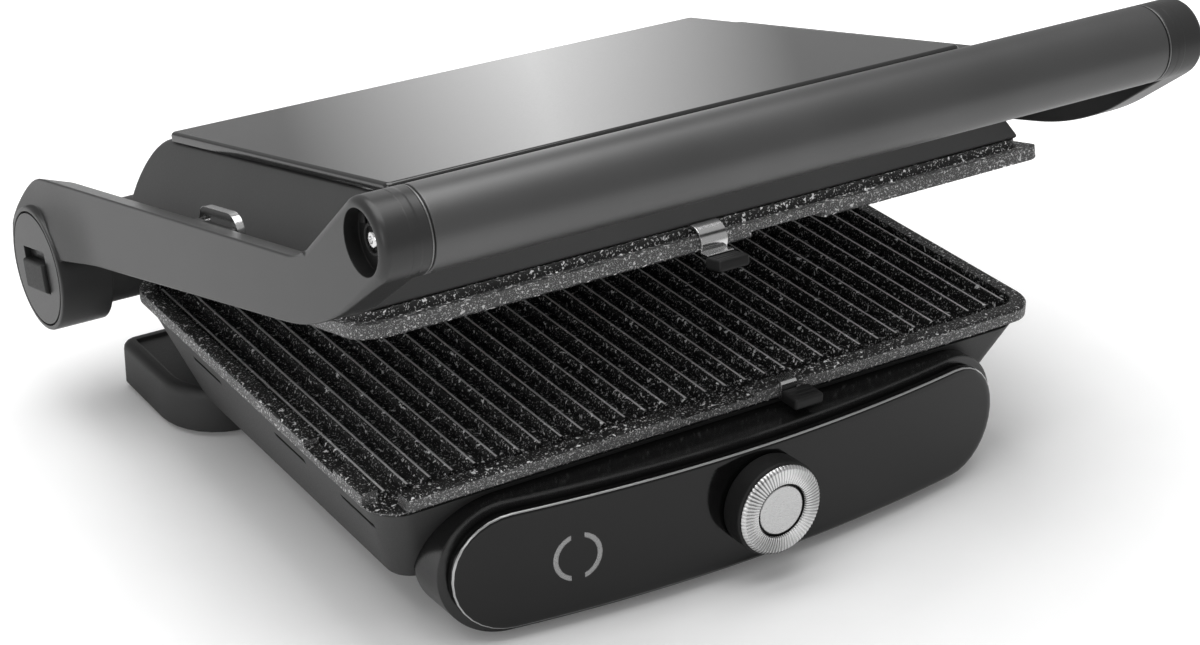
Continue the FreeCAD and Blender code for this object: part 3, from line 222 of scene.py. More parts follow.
coating = speckled("plate_coating", 0.009, 0.88, 0.055, 0.45)
# Crest finish: paler coating, partly wear and partly a painted highlight along the rib crests.
crest_wear_and_highlight = speckled("rib_crest_coating", 0.60, 0.88, 0.08, 0.34)
rim_coating = speckled("rim_coating", 0.065, 0.58, 0.085, 0.45, finer=1.7)
knob_metal = brushed("knob_metal", 0.58, 0.64, (500, 500, 3000))
print("coatings and brushed metal ready")

# %% [markdown]
# ## Turned metal
# The knob's ring has fine spokes round its middle.  A radial gradient runs once round the centre, and sines of
# it give the spokes and a few broad, brighter sectors, a painted sheen.  An image could do that too, but this
# needs no file.

# %% Metal with fine spokes
def radial(name, centre, spokes):
    """Fine spokes round a centre in the XZ plane, with a painted sheen in a few brighter sectors."""
    material, nodes, links, shader, coords = new_material(name)
    mapping = nodes.new("ShaderNodeMapping")
    mapping.inputs["Rotation"].default_value = (-math.pi / 2, 0, 0)
    mapping.inputs["Location"].default_value = (-centre.x, -centre.z, centre.y)
    around = nodes.new("ShaderNodeTexGradient")
    around.gradient_type = "RADIAL"
    links.new(coords, mapping.inputs["Vector"])
    links.new(mapping.outputs["Vector"], around.inputs["Vector"])

    def wave(turns, phase):
        angle = nodes.new("ShaderNodeMath")
        angle.operation = "MULTIPLY_ADD"
        angle.inputs[1].default_value, angle.inputs[2].default_value = 2 * math.pi * turns, phase
        links.new(around.outputs["Fac"], angle.inputs[0])
        sine = nodes.new("ShaderNodeMath")
        sine.operation = "SINE"
        links.new(angle.outputs["Value"], sine.inputs[0])
        return spread(nodes, links, sine.outputs["Value"], 0, 1, -1, 1)

    # The three broad bright sectors are a painted sheen; the fine spokes are the ring's lines.
    line, sector = wave(spokes, 0), wave(3, 1.1)
    dark = blend(nodes, links, sector, 0.14, 0.62)
    links.new(blend(nodes, links, line, dark, 0.86), shader.inputs["Base Color"])
    shader.inputs["Metallic"].default_value = 1.0
    links.new(spread(nodes, links, line, 0.24, 0.34), shader.inputs["Roughness"])
    rough_normal(nodes, links, shader, line, 0.5, 0.0002, 0.0003)
    return material


knob_spokes_and_sheen = radial("knob_spokes_and_sheen", PANEL @ Vector((2, -14, 2)), 72)
print(len(bpy.data.materials), "materials in all")

# %% [markdown]
# ## Dress the CAD nodes
# Pieces whose CAD shape is already right, such as the tub, its feet and everything inside, keep their solids.
# Each takes the material that belongs to its slot in the record.  The housing behind the panel is glossier than
# the tub, so it gets a finish of its own.

# %% Materials for the CAD nodes
SLOT_MATERIAL = {
    "housing_plastic": housing_plastic, "arm_plastic": arm_plastic, "panel_gloss": panel_gloss,
    "black_plastic": black_plastic, "plate_coating": coating, "handle_aluminium": handle_metal,
    "lid_glass": lid_glass, "bright_steel": bright_steel, "knob_metal": knob_metal, "steel": plain_steel,
    "reflector_sheet": reflector_sheet, "inner_plastic": inner_plastic, "lamp_lens": lamp_lens,
    "foot_rubber": foot_rubber}
for entry in frame["record"]["subparts"]:
    node = frame["nodes"][entry["node"]]
    for place in node.material_slots:
        place.material = SLOT_MATERIAL[entry["material_slot"]]
frame["nodes"]["control_housing"].material_slots[0].material = housing_gloss
print(len(frame["nodes"]), "CAD nodes dressed")

# %% [markdown]
# ## Outlines
# Most pieces start as an outline: a filled circle whose corners are moved to a drawn shape and then extruded.
# The shape is given as a few points with corner radii, which is quicker than moving points by hand and keeps the
# numbers readable.  An operator acts on all that is selected, so every step deselects first.

# %% Outlines that can be extruded
def deselect():
    if bpy.context.object and bpy.context.object.mode != "OBJECT":
        bpy.ops.object.mode_set(mode="OBJECT")
    bpy.ops.object.select_all(action="DESELECT")


def edit(piece):
    deselect()
    piece.select_set(True)
    bpy.context.view_layer.objects.active = piece
    bpy.ops.object.mode_set(mode="EDIT")
    bpy.ops.mesh.select_mode(type="FACE")
    bpy.ops.mesh.select_all(action="SELECT")


def rounded(points, steps=8):
    """Outline of (a, b, corner radius) points, with short runs of points for the round corners."""
    outline = []
    for index, (a, b, radius) in enumerate(points):
        corner = Vector((a, b))
        if not radius:
            outline.append(corner)
            continue
        before = (Vector(points[index - 1][:2]) - corner).normalized()
        after = (Vector(points[(index + 1) % len(points)][:2]) - corner).normalized()
        half = before.angle(after) / 2
        middle = corner + (before + after).normalized() * radius / math.sin(half)
        start = corner + before * radius / math.tan(half) - middle
        end = corner + after * radius / math.tan(half) - middle
        turn = start.angle_signed(end)
        for step in range(steps + 1):
            outline.append(middle + Matrix.Rotation(-turn * step / steps, 2) @ start)
    return outline


def rectangle(width, depth, corner, middle=(0, 0)):
    x, y = width / 2, depth / 2
    return rounded([(middle[0] + a, middle[1] + b, corner) for a, b in ((-x, -y), (x, -y), (x, y), (-x, y))])


def outline_piece(name, outline, place):
    deselect()
    bpy.ops.mesh.primitive_circle_add(vertices=len(outline), radius=1, fill_type="NGON")
    piece = bpy.context.object
    piece.name = name
    for vertex, (a, b) in zip(piece.data.vertices, outline):
        vertex.co = place(a, b)
    edit(piece)
    return piece


def extrude(move):
    bpy.ops.mesh.extrude_region_move(TRANSFORM_OT_translate={"value": move})


print("outline helpers ready")

# %% [markdown]
# ## Turned pieces, soft edges and cuts
# A turned piece is a circle that is extruded and resized ring by ring, as on a lathe.  It is made upright and
# then laid along X, because hinge, handle and screws all run across the grill.  A bevel softens edges, and a
# Boolean cuts with a block or a drum.

# %% Turned pieces, soft edges and cuts
def turned(name, profile, sides=96):
    """Solid of revolution about Z from (radius, height) pairs."""
    deselect()
    bpy.ops.mesh.primitive_circle_add(vertices=sides, radius=profile[0][0], fill_type="NGON",
                                      location=(0, 0, 0))
    piece = bpy.context.object
    piece.name = name
    piece.data.transform(Matrix.Translation((0, 0, profile[0][1])))
    edit(piece)
    for (radius, height), (wider, higher) in zip(profile, profile[1:]):
        extrude((0, 0, higher - height))
        bpy.ops.transform.resize(value=(wider / radius, wider / radius, 1), center_override=(0, 0, higher))
    return piece


def soften(piece, width, segments=3, angle=30):
    deselect()
    piece.select_set(True)
    bpy.context.view_layer.objects.active = piece
    bevel = piece.modifiers.new("edges", "BEVEL")
    bevel.width, bevel.segments, bevel.angle_limit = width, segments, math.radians(angle)
    bevel.limit_method = "ANGLE"
    bpy.ops.object.modifier_apply(modifier=bevel.name)


def cut_away(piece, cutter):
    for solid in (cutter, piece):
        edit(solid)
        bpy.ops.mesh.normals_make_consistent(inside=False)
    deselect()
    piece.select_set(True)
    bpy.context.view_layer.objects.active = piece
    boolean = piece.modifiers.new("cut", "BOOLEAN")
    boolean.object, boolean.operation = cutter, "DIFFERENCE"
    bpy.ops.object.modifier_apply(modifier=boolean.name)
    bpy.data.objects.remove(cutter, do_unlink=True)


def block(name, low, high):
    deselect()
    bpy.ops.mesh.primitive_cube_add(size=1)
    piece = bpy.context.object
    piece.name = name
    low, high = Vector(low), Vector(high)
    piece.data.transform(Matrix.Translation((low + high) / 2) @ Matrix.Diagonal((*(high - low), 1)))
    return piece


def join(first, others):
    deselect()
    for piece in (first, *others):
        piece.select_set(True)
    bpy.context.view_layer.objects.active = first
    bpy.ops.object.join()
    return first


TURN_X = Matrix.Rotation(math.radians(90), 4, "Y")


def lay_across(piece, side, y, z):
    """Lays a piece that was turned about Z along X at (y, z), outwards on the given side."""
    deselect()
    piece.data.transform(Matrix.Translation((0, y, z)) @ Matrix.Scale(side, 4, (1, 0, 0)) @ TURN_X)
    return piece


print("turning and cutting helpers ready")

# %% [markdown]
# ## Bringing a piece to its place
# The last helper brings a mesh to its resting place, fixes its normals and says which CAD nodes it stands for.
# Weighted normals let the large faces win over the small ones at their edges, so a flat face keeps a flat
# reflection.

# %% Placing a finished piece
def into_place(piece, matrix, body, slot, nodes=(), angle=35):
    edit(piece)
    bpy.ops.mesh.normals_make_consistent(inside=False)
    deselect()
    piece.data.transform(matrix)
    if not piece.data.materials:
        piece.data.materials.append(SLOT_MATERIAL[slot])
    piece.select_set(True)
    bpy.context.view_layer.objects.active = piece
    bpy.ops.object.shade_smooth_by_angle(angle=math.radians(angle))
    flat = piece.modifiers.new("flat_faces", "WEIGHTED_NORMAL")
    flat.keep_sharp, flat.weight = True, 80
    bpy.ops.object.modifier_apply(modifier=flat.name)
    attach(piece, body)
    if nodes:
        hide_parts(*nodes)
    print(piece.name, len(piece.data.polygons), "faces")
    return piece


print("placing helper ready")

# %% [markdown]
# ## Cooking plates
# A plate is cast in one piece: a floor, a raised rim and a row of ribs.  Floor and rim are outlines that are
# extruded.  A Boolean sinks the well into the rim, and blocks cut the relief for the other plate's latch, the
# drain corner and the notch.  Insets could sink the well too, but a cutter keeps its own corner radius.  One rib
# with a rounded crest is repeated by an array, and the faces on its top take the paler crest coating: worn
# coating with a painted highlight.

# %% Cooking plates with their ribs
RIB_PITCH, RIB_COUNT = 10.3213, 32
RIB_SECTION = [(-2.7, -6.4), (-2.35, -4.9), (-1.85, -3.2), (-1.3, -2.1), (-0.5, -1.55), (0.5, -1.55),
               (1.3, -2.1), (1.85, -3.2), (2.35, -4.9), (2.7, -6.4)]


def rib_row(name):
    rib = outline_piece(name + "_rib", RIB_SECTION, lambda a, b: (a, -103, b))
    extrude((0, 206, 0))
    deselect()
    rib.data.transform(Matrix.Translation((-RIB_PITCH * (RIB_COUNT - 1) / 2, 0, 0)))
    for material in (coating, crest_wear_and_highlight):
        rib.data.materials.append(material)
    for face in rib.data.polygons:
        # The top faces of each crest take the crest finish: worn coating with a painted highlight.
        face.material_index = int(face.center.z > -1.7 and abs(face.normal.y) < 0.5)
    array = rib.modifiers.new("row", "ARRAY")
    array.use_relative_offset, array.use_constant_offset = False, True
    array.count, array.constant_offset_displace = RIB_COUNT, (RIB_PITCH, 0, 0)
    rib.select_set(True)
    bpy.context.view_layer.objects.active = rib
    bpy.ops.object.modifier_apply(modifier=array.name)
    return rib


def plate(name, outline, cutters):
    piece = outline_piece(name, rectangle(330, 222, 10), lambda a, b: (a, b, -10))
    extrude((0, 0, 4))
    deselect()
    rim = outline_piece(name + "_rim", outline, lambda a, b: (a, b, -6))
    extrude((0, 0, 5.2))
    bpy.ops.mesh.inset(thickness=0.8, depth=0.8)
    well = outline_piece(name + "_well", rectangle(326, 218, 8), lambda a, b: (a, b, -5.6))
    extrude((0, 0, 9))
    cut_away(rim, well)
    for number, (low, high) in enumerate(cutters):
        cut_away(rim, block(f"{name}_cut_{number}", low, high))
    for material in (coating, crest_wear_and_highlight, rim_coating):
        rim.data.materials.append(material)
    for face in rim.data.polygons:
        if abs(face.normal.z) < 0.5 and max(abs(face.center.x) / 170, abs(face.center.y) / 116) > 0.96:
            face.material_index = 2
    piece.data.materials.append(coating)
    return join(rim, [piece, rib_row(name)])


lower = plate("lower_plate_dressed", rectangle(340, 232, 14),
              [((-27, -120, -2.5), (11, -108, 5)), ((-175, -120, -5.5), (-157, -103, 5)),
               ((-175, -79.5, -2.5), (-162, -54.5, 5))])
into_place(lower, BASE, "base", "plate_coating", ["lower_plate"])
eared = rounded([(-170, -116, 5), (170, -116, 14), (170, 116, 14), (-170, 116, 14)])
upper = plate("upper_plate_dressed", eared, [((-50, -120, -2.5), (-12, -108, 5))])
flipped = Matrix.Translation((0, 0, 0.6)) @ Matrix.Rotation(math.pi, 4, "Y")
into_place(upper, LID @ flipped, "lid", "plate_coating", ["upper_plate"])

# %% [markdown]
# ## Lid housing and glass
# The lid's side view is drawn as an outline and extruded across the grill.  Moving its points inwards with
# height gives the sloping flanks, and a bevel rounds the shoulders.  The glass is a thin slab with a polished,
# rounded edge.

# %% Lid housing and glass top
side_view = rounded([(-111, 10.6, 0), (-99.8, 51.6, 0), (134, 51.6, 24), (134, 24.1, 0), (116, 10.6, 0)], 10)
lid = outline_piece("lid_housing_dressed", side_view, lambda a, b: (-164, a, b))
extrude((328, 0, 0))
deselect()
for vertex in lid.data.vertices:
    vertex.co.x *= 1 - (vertex.co.z - 10.6) / 41 * (1 - 141.8 / 164)
soften(lid, 2.2, 4)
lid.data.materials.append(lid_plastic)
into_place(lid, LID, "lid", "housing_plastic", ["lid_housing"])

glass = outline_piece("lid_glass_dressed", rectangle(286, 209, 3, (0, 3.5)), lambda a, b: (a, b, 51.6))
extrude((0, 0, 2.6))
bpy.ops.mesh.inset(thickness=0.45, depth=0.9)
bpy.ops.mesh.inset(thickness=0.95, depth=0.5)
bpy.ops.mesh.inset(thickness=0.6, depth=0)
into_place(glass, LID, "lid", "lid_glass", ["lid_glass"], 50)

# %% [markdown]
# ## Arms
# An arm's side view runs from the drum along a straight beam and climbs to a cap round the handle tube.  It is
# drawn as an outline and extruded.  Bisecting the rear part into rows gives points that can be pushed out, so
# that the side swells towards the drum.  The edges get a bevel whose width follows edge weights: wide round the
# cap, narrow elsewhere, which one width for all edges could not give.

# %% Beams of the arms
TUBE_Y, TUBE_Z, TUBE_R = -180, 55, 16.4
CLIMB, SLOPE = math.radians(29.65), math.radians(25.5)
cap_arc = []
for step in range(25):
    around = math.pi / 2 - CLIMB + (math.pi + CLIMB - SLOPE) * step / 24
    cap_arc.append((TUBE_Y + TUBE_R * math.cos(around), TUBE_Z + TUBE_R * math.sin(around), 0))
arm_view = rounded([(176, 42, 38), (-124, 42, 30), *cap_arc, (-134, 14.9, 140), (119, 7, 0), (148, -2, 0),
                    (176, -2, 0)], 12)


def arm_beam(name, side):
    piece = outline_piece(name, arm_view, lambda a, b: (side * 179, a, b))
    extrude((side * 16, 0, 0))
    for y in range(78, 174, 6):
        bpy.ops.mesh.select_all(action="SELECT")
        bpy.ops.mesh.bisect(plane_co=(0, y, 0), plane_no=(0, 1, 0))
    for z in (14, 20, 26, 31, 36):
        bpy.ops.mesh.select_all(action="DESELECT")
        bpy.ops.object.mode_set(mode="OBJECT")
        for face in piece.data.polygons:
            face.select = face.center.y > 78
        bpy.ops.object.mode_set(mode="EDIT")
        bpy.ops.mesh.bisect(plane_co=(0, 0, z), plane_no=(0, 0, 1))
    deselect()
    weights = piece.data.attributes.new("bevel_weight_edge", "FLOAT", "EDGE")
    outer_keys = set()
    for face in piece.data.polygons:
        if abs(face.normal.x) < 0.5:
            outer_keys.update(face.edge_keys)
    for edge in piece.data.edges:
        ends = [piece.data.vertices[number].co for number in edge.vertices]
        border = abs(ends[0].x - ends[1].x) < 0.1 and edge.key in outer_keys
        front = min(max((-158 - ends[0].y) / 14, 0), 1) if abs(ends[0].x) > 190 else 0
        weights.data[edge.index].value = 0.3 + 0.7 * front if border else 0.0
    for vertex in piece.data.vertices:
        if abs(vertex.co.x) < 182 and vertex.co.z > 20 and vertex.co.y > -160:
            vertex.co.z -= 5.5 * min((vertex.co.y + 160) / 45, 1) * min((vertex.co.z - 20) / 22, 1)
        if abs(vertex.co.x) > 190:
            share = min(max((vertex.co.y - 84) / 50, 0), 1)
            low = min(max((41 - vertex.co.z) / 26, 0), 1)
            swell = 5.7 * share * share * (3 - 2 * share) * low * low * (3 - 2 * low)
            vertex.co.x += side * swell
    piece.select_set(True)
    bpy.context.view_layer.objects.active = piece
    bevel = piece.modifiers.new("edges", "BEVEL")
    bevel.limit_method, bevel.width, bevel.segments = "WEIGHT", 3.7, 5
    bevel.use_clamp_overlap = False
    bpy.ops.object.modifier_apply(modifier=bevel.name)
    return piece


print("arm outline of", len(arm_view), "points")

# %% [markdown]
# ## Drums, necks and pockets
# At the hinge each arm ends in a drum with a recess for the pivot cover, and at the front a short neck meets the
# handle tube.  They are round, so they are turned and joined to the beam.  Drum-shaped cutters sink the screw
# pocket and the cover's seat, because an inset can't follow a circle across several faces.

# %% Arms with drums and pockets
DRUM_PROFILE = [(29, 176.5), (29, 200), (28.7, 200.7), (28, 201), (27, 201), (26.8, 200.8), (26.8, 198)]
NECK_PROFILE = [(15.2, 175.5), (16.2, 175.5), (16.4, 175.7), (16.4, 183)]


def arm(name, side, nodes):
    piece = arm_beam(name, side)
    pocket = turned(name + "_pocket", [(12.5, 189), (12.5, 200)], 64)
    cut_away(piece, lay_across(pocket, side, TUBE_Y, TUBE_Z))
    seat = turned(name + "_seat", [(26.9, 197.6), (26.9, 210)])
    cut_away(piece, lay_across(seat, side, HINGE_Y, 0))
    drum = lay_across(turned(name + "_drum", DRUM_PROFILE), side, HINGE_Y, 0)
    neck = lay_across(turned(name + "_neck", NECK_PROFILE), side, TUBE_Y, TUBE_Z)
    low_x, high_x = sorted((side * 174.5, side * 180))
    pad = block(name + "_pad", (low_x, -26, 8), (high_x, 12, 35.4))
    soften(pad, 1)
    join(piece, [drum, pad, neck])
    for material in (arm_plastic, black_plastic):
        piece.data.materials.append(material)
    # Faces of the screw pocket take black plastic: painted shade inside the recess.
    for face in piece.data.polygons:
        from_tube = math.hypot(face.center.y - TUBE_Y, face.center.z - TUBE_Z)
        face.material_index = int(from_tube < 12.6 and 188.5 < abs(face.center.x) < 194.5)
    return into_place(piece, LID, "arms", "arm_plastic", nodes)


left_arm = arm("left_arm_dressed", -1, ["left_arm"])
right_arm = arm("right_arm_dressed", 1, ["right_arm"])

# %% [markdown]
# ## Pocket floors
# Each pocket shows a dark ring and a bright screw in its middle, and two square notches by its wall.  Ring and
# screw are turned.  The notches are small dark blocks with soft edges that lie on the floor.

# %% Screws, rings and notches in the pockets
SCREW_PROFILE = [(3.2, 188.5), (3.2, 190.3), (2.8, 190.8), (2.0, 191), (1.4, 191), (1.2, 190.2)]
WASHER_PROFILE = [(6.2, 188.8), (6.2, 190.2), (5.9, 190.5), (4.9, 190.5), (4.7, 189.2)]
screws = []
for side, side_name in ((-1, "left"), (1, "right")):
    screws.append(lay_across(turned(side_name + "_screw", SCREW_PROFILE, 48), side, TUBE_Y, TUBE_Z))
    washer = lay_across(turned(side_name + "_pocket_ring", WASHER_PROFILE, 48), side, TUBE_Y, TUBE_Z)
    notches = []
    for number, (y, z) in enumerate(((7.0, 7.2), (-7.0, -7.2))):
        low_x, high_x = sorted((side * 188.9, side * 190))
        notch = block(f"{side_name}_notch_{number}", (low_x, TUBE_Y + y - 2.2, TUBE_Z + z - 2.2),
                      (high_x, TUBE_Y + y + 2.2, TUBE_Z + z + 2.2))
        soften(notch, 0.4, 2)
        notches.append(notch)
    into_place(join(washer, notches), LID, "arms", "black_plastic")
into_place(join(screws[0], screws[1:]), LID, "arms", "bright_steel", ["handle_screws"])

# %% [markdown]
# ## Cross handle
# The handle is a dark anodised tube.  At each end a black groove and a thin bright ring separate it from the
# arm's cap, so three turned pieces make one handle.

# %% Handle tube with its seam rings
TUBE_PROFILE = [(15.6, -174), (16.2, -174), (16.4, -173.8), (16.4, 173.8), (16.2, 174), (15.6, 174)]
GROOVE_PROFILE = [(15.0, 173.6), (16.0, 173.8), (16.0, 174.9), (15.0, 175)]
SEAM_PROFILE = [(15.4, 174.8), (16.3, 174.8), (16.4, 174.9), (16.4, 175.4), (15.4, 175.6)]
tube = lay_across(turned("handle_tube_dressed", TUBE_PROFILE, 128), 1, TUBE_Y, TUBE_Z)
into_place(tube, LID, "arms", "handle_aluminium", ["handle_tube"])
for side, side_name in ((-1, "left"), (1, "right")):
    groove = lay_across(turned(side_name + "_handle_groove", GROOVE_PROFILE), side, TUBE_Y, TUBE_Z)
    into_place(groove, LID, "arms", "black_plastic")
    seam = lay_across(turned(side_name + "_handle_ring", SEAM_PROFILE), side, TUBE_Y, TUBE_Z)
    seam.data.materials.append(seam_metal)
    into_place(seam, LID, "arms", "bright_steel")

# %% [markdown]
# ## Rear legs
# A leg is a low block with one wide corner, a soft upper edge and a shallow tray on top.  Insets that also move
# the face up give a round edge without a bevel: their steps follow a quarter circle.  A web rises from the leg
# to the hinge barrel, which is turned.

# %% Rear legs with hinge barrels
BARREL_PROFILE = [(21.5, 94.5), (22.6, 94.9), (23, 96), (23, 173), (22.6, 174.1), (21.5, 174.5)]
ROUND_EDGE = [(0.3, 1.5), (0.9, 1.3), (1.3, 0.9), (1.5, 0.3)]
for side, side_name in ((-1, "left"), (1, "right")):
    plan = rounded([(side * 161, 156, 7), (side * 161, 80, 30), (side * 107, 80, 7), (side * 107, 156, 7)])
    leg = outline_piece(f"rear_leg_{side_name}_dressed", plan, lambda a, b: (a, b, -71))
    extrude((0, 0, 17))
    for thickness, depth in ROUND_EDGE:
        bpy.ops.mesh.inset(thickness=thickness, depth=depth)
    bpy.ops.mesh.inset(thickness=2.0, depth=0)
    bpy.ops.mesh.inset(thickness=1.0, depth=-1.5)
    low_x, high_x = sorted((side * 94.5, side * 116.5))
    web = block(side_name + "_web", (low_x, 130, -62), (high_x, 156, 0))
    soften(web, 2)
    barrel = lay_across(turned(side_name + "_barrel", BARREL_PROFILE), side, HINGE_Y, 0)
    into_place(join(leg, [web, barrel]), BASE, "base", "housing_plastic", [f"rear_leg_{side_name}"])

# %% [markdown]
# ## Release lever
# The lever on the left drum is a pad on a thin flange.  Both are blocks whose edges a bevel softens, and they
# are joined, because on the real grill they are moulded as one.

# %% Release lever
lever = block("release_lever_dressed", (-203, 135.5, -10), (-194.7, 160.5, 4))
soften(lever, 1.4, 4)
flange = block("lever_flange", (-197.7, 133.5, -12), (-194.7, 162.5, 6))
soften(flange, 0.5)
lever.data.materials.append(black_plastic)
into_place(join(lever, [flange]), LID, "release_lever", "black_plastic", ["release_lever"])

# %% [markdown]
# ## Control panel
# The face is a bowed strip with round ends.  Its outline is extruded, and four insets that also step forward
# round the rim.  A bow needs points across the whole face, so the strip is first cut into columns, and each
# column is then pushed back by its place on the arc.  The outermost rings of the rim take a pale metal finish:
# a painted highlight line.

# %% Glossy control panel
BOW = 700.0
RIM_STEPS = [(0.12, 0.45), (0.45, 0.40), (0.9, 0.30), (1.5, 0.15)]
panel = outline_piece("control_panel_dressed", rectangle(281, 53, 26), lambda a, b: (a, 4, b))
extrude((0, -2.7, 0))
for thickness, depth in RIM_STEPS:
    bpy.ops.mesh.inset(thickness=thickness, depth=depth)
bpy.ops.mesh.inset(thickness=0.5, depth=0)
for x in range(-136, 137, 8):
    bpy.ops.mesh.select_all(action="SELECT")
    bpy.ops.mesh.bisect(plane_co=(x, 0, 0), plane_no=(1, 0, 0))
deselect()
for material in (panel_gloss, panel_edge_highlight):
    panel.data.materials.append(material)
# The sloping rim faces take the pale edge finish: a painted highlight.
for face in panel.data.polygons:
    face.material_index = int(0.2 < abs(face.normal.y) < 0.8)
for vertex in panel.data.vertices:
    vertex.co.y += vertex.co.x ** 2 / (2 * BOW)
into_place(panel, PANEL, "base", "panel_gloss", ["control_panel"], 40)

# %% [markdown]
# ## Knob
# The black body is turned.  The silver ring is turned from a circle of many points, and every second spoke is
# pressed in a little, which gives the radial knurl.  The brushed disc lies slightly lower, so a dark gap shows
# round it.

# %% Knob body, knurled ring and disc
KNOB = PANEL @ Matrix.Translation((2, 0, 2)) @ Matrix.Rotation(math.radians(90), 4, "X")
BODY_PROFILE = [(20.2, 0.9), (21.0, 1.2), (21.2, 1.8), (21.2, 10.6), (20.9, 11.4), (20.2, 11.9), (12.0, 11.9),
                (11.8, 11.0)]
into_place(turned("knob_body_dressed", BODY_PROFILE), KNOB, "knob", "black_plastic", ["knob_body"])

SPOKES = 144
KNURL_PROFILE = [(20.0, 11.9), (20.3, 12.3), (20.1, 13.2), (19.0, 14.2), (16.0, 14.5), (13.4, 14.4),
                 (12.4, 14.0), (12.0, 13.2), (11.9, 12.0)]
ring = turned("knob_ring_dressed", KNURL_PROFILE, SPOKES)
deselect()
for vertex in ring.data.vertices:
    radius = math.hypot(vertex.co.x, vertex.co.y)
    spoke = round(math.atan2(vertex.co.y, vertex.co.x) / (2 * math.pi) * SPOKES) % SPOKES
    if radius > 13 and vertex.co.z > 12.6 and spoke % 2:
        vertex.co.z -= 0.32
for material in (knob_spokes_and_sheen, black_plastic):
    ring.data.materials.append(material)
for face in ring.data.polygons:
    face.material_index = int(math.hypot(face.center.x, face.center.y) < 12.2 and face.center.z < 13)
into_place(ring, KNOB, "knob", "knob_metal", ["knob_ring"])

disc = turned("knob_cap_dressed", [(11.0, 11.9), (11.0, 12.9), (10.7, 13.2), (9.8, 13.3), (0.5, 13.15)])
into_place(disc, KNOB, "knob", "knob_metal", ["knob_cap"])

# %% [markdown]
# ## Latches
# Each latch is a bent strip of spring steel with a black finger tab.  The strip is the outline of its side
# view, bent round the rim, and extruded across.  The tab is a block with well rounded edges and a raised grip.

# %% Spring latches and their tabs
def latch(label, x, width, bend, body, matrix):
    """bend gives the strip's outer face as (y, z) points; its thickness lies to their right."""
    points = [Vector(point) for point in bend]
    inner = []
    for before, point, after in zip([points[0], *points], points, [*points[1:], points[-1]]):
        along = (after - before).normalized()
        inner.append(point + Vector((-along.y, along.x)) * 1.2)
    section = points + inner[::-1]
    strip = outline_piece(label + "_latch_clip_dressed", section, lambda a, b: (x - width / 2, a, b))
    extrude((width, 0, 0))
    deselect()
    soften(strip, 0.3, 2)
    return into_place(strip, matrix, body, "bright_steel", [label + "_latch_clip"])


def tab(label, x, y, z, body, matrix):
    piece = block(label + "_latch_tab_dressed", (x - 7.5, y, z), (x + 7.5, y + 11, z + 5))
    soften(piece, 1.3, 4)
    grips = []
    for number in range(3):
        start = y + 2 + 2.6 * number
        grip = block(f"{label}_grip_{number}", (x - 6, start, z + 4.6), (x + 6, start + 1.2, z + 5.1))
        soften(grip, 0.18, 2)
        grips.append(grip)
    return into_place(join(piece, grips), matrix, body, "black_plastic", [label + "_latch_tab"])


front = -116.25
lower_bend = [(-111, 1.45), (-115, 1.45), (-116.6, 1.1), (front - 1.2, 0.2), (front - 1.2, -6.2),
              (-116.9, -7.2), (-115.8, -7.45), (-112, -7.45)]
latch("lower", 28, 8, lower_bend, "lower_latch", BASE)
tab("lower", 31, front - 1.2 - 11, -7.45, "lower_latch", BASE)
upper_bend = [(-110.8, 11.4), (-112.6, 11.4), (-115.0, 10.6), (-117.2, 8.8), (-118.5, 6.2), (-118.7, 3.6),
              (-118.1, 1.6), (-117.5, 0.6), (-118.6, 0.1), (-121.9, 0.0), (-122.2, -0.4)]
latch("upper", -8, 13, upper_bend, "upper_latch", LID)
tab("upper", -8, front - 4.5 - 11, -5.85, "upper_latch", LID)

# %% [markdown]
# ## Paper and world
# The grill stands on plain white paper.  The backdrop gets its white from camera rays alone: the world is white
# for them, and the paper is lifted away from the grill, so that the shadow near it stays.  More light would
# whiten the paper too, but it would also wash out the grill.

# %% Floor and world
deselect()
bpy.ops.mesh.primitive_plane_add(size=5, location=(0, 0, 0))
floor = bpy.context.object
floor.name = "studio_floor"
paper, nodes, links, shader, coords = new_material("white_paper")
fibre = noise(nodes, links, coords, 40)
links.new(blend(nodes, links, spread(nodes, links, fibre, 0, 1), 0.92, 0.94), shader.inputs["Base Color"])
shader.inputs["Roughness"].default_value = 0.9
path = nodes.new("ShaderNodeLightPath")
reach = nodes.new("ShaderNodeVectorMath")
reach.operation = "LENGTH"
links.new(coords, reach.inputs[0])
lift = nodes.new("ShaderNodeMath")
lift.operation = "MULTIPLY"
links.new(spread(nodes, links, reach.outputs["Value"], 0.06, 0.55, 0.20, 0.60), lift.inputs[0])
links.new(path.outputs["Is Camera Ray"], lift.inputs[1])
shader.inputs["Emission Color"].default_value = (1, 1, 1, 1)
links.new(lift.outputs["Value"], shader.inputs["Emission Strength"])
floor.data.materials.append(paper)

world = bpy.data.worlds.new("studio")
world.use_nodes = True
nodes, links = world.node_tree.nodes, world.node_tree.links
path = nodes.new("ShaderNodeLightPath")
links.new(blend(nodes, links, path.outputs["Is Camera Ray"], 0.4, 1.0), nodes["Background"].inputs["Color"])
scene.world = world
scene.view_settings.view_transform = "Standard"


print("floor and world ready")

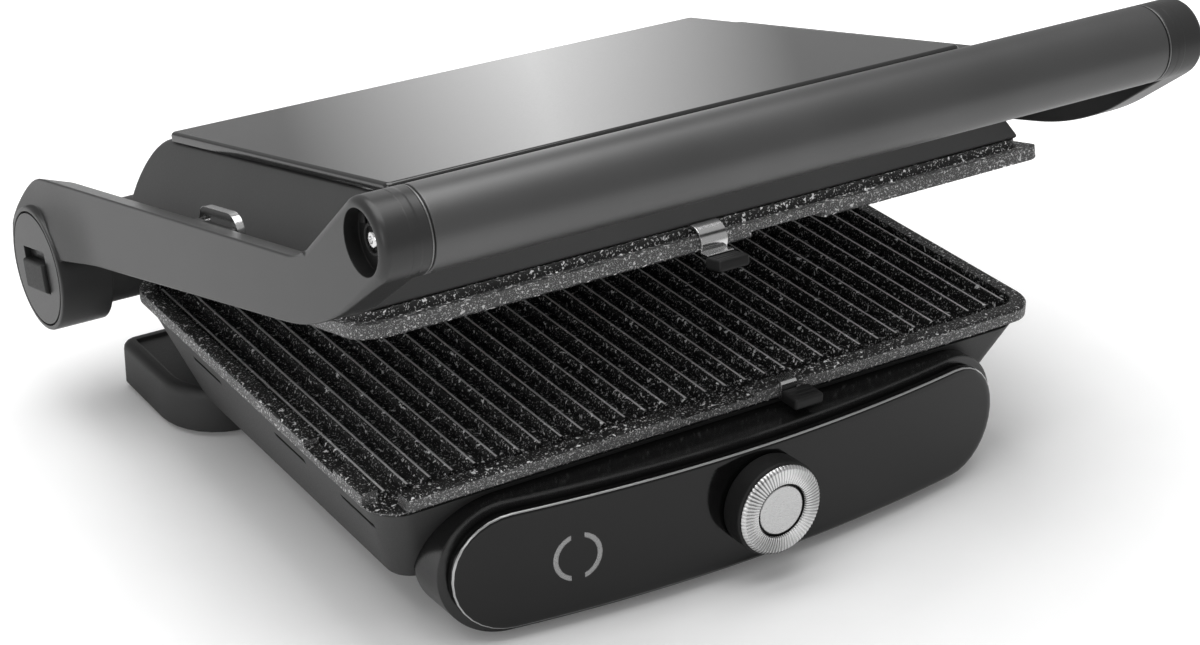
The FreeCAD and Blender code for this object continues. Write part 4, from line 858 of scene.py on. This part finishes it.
# %% [markdown]
# ## A card for the glass
# Glass shows what it mirrors.  A card behind the grill, which the camera can't see, gives it a pale band that
# fades to both sides: the card's emission follows its own X coordinate.

# %% Card behind the grill
CARD_WAY = Vector((0.476, 0.878, 0)).normalized()
card_yaw = math.atan2(CARD_WAY.y, CARD_WAY.x) - math.pi / 2
card_turn = Matrix.Rotation(card_yaw, 4, "Z") @ Matrix.Rotation(math.pi / 2, 4, "X")
deselect()
bpy.ops.mesh.primitive_plane_add(size=1)
card = bpy.context.object
card.name = "glass_card"
card.data.transform(Matrix.Diagonal((2.4, 0.9, 1, 1)))
card.matrix_world = Matrix.Translation(CARD_WAY * 0.9 + Vector((0, 0, 0.46))) @ card_turn
card_light, nodes, links, shader, coords = new_material("card_light")
parts = nodes.new("ShaderNodeSeparateXYZ")
links.new(coords, parts.inputs["Vector"])
offset = nodes.new("ShaderNodeMath")
offset.operation = "ABSOLUTE"
links.new(parts.outputs["X"], offset.inputs[0])
fade = spread(nodes, links, offset.outputs["Value"], 1.5, 0.32, 0.0, 0.20)
shader.inputs["Base Color"].default_value = (0.02, 0.02, 0.02, 1)
shader.inputs["Emission Color"].default_value = (1, 1, 1, 1)
links.new(fade, shader.inputs["Emission Strength"])
card.data.materials.append(card_light)
card.visible_camera = card.visible_diffuse = card.visible_shadow = False

print("card ready")

# %% [markdown]
# ## Lamps
# A large soft lamp hangs above the grill, and a weaker one fills from the left.  They stay at a level where a
# colour renders about as it is written, so the finishes look right under other light too.

# %% Soft lamps
def soft_lamp(name, place, aim, size, power):
    deselect()
    bpy.ops.object.light_add(type="AREA", location=place)
    lamp = bpy.context.object
    lamp.name = name
    lamp.data.shape = "RECTANGLE"
    lamp.data.size, lamp.data.size_y = size
    lamp.data.energy = power
    lamp.rotation_euler = (Vector(aim) - Vector(place)).to_track_quat("-Z", "Y").to_euler()


soft_lamp("top_softbox", (-0.2, 0.1, 1.7), (0, 0, 0.1), (1.8, 1.8), 30)
soft_lamp("left_softbox", (-1.5, -0.9, 0.7), (0, -0.1, 0.1), (0.7, 0.7), 3)
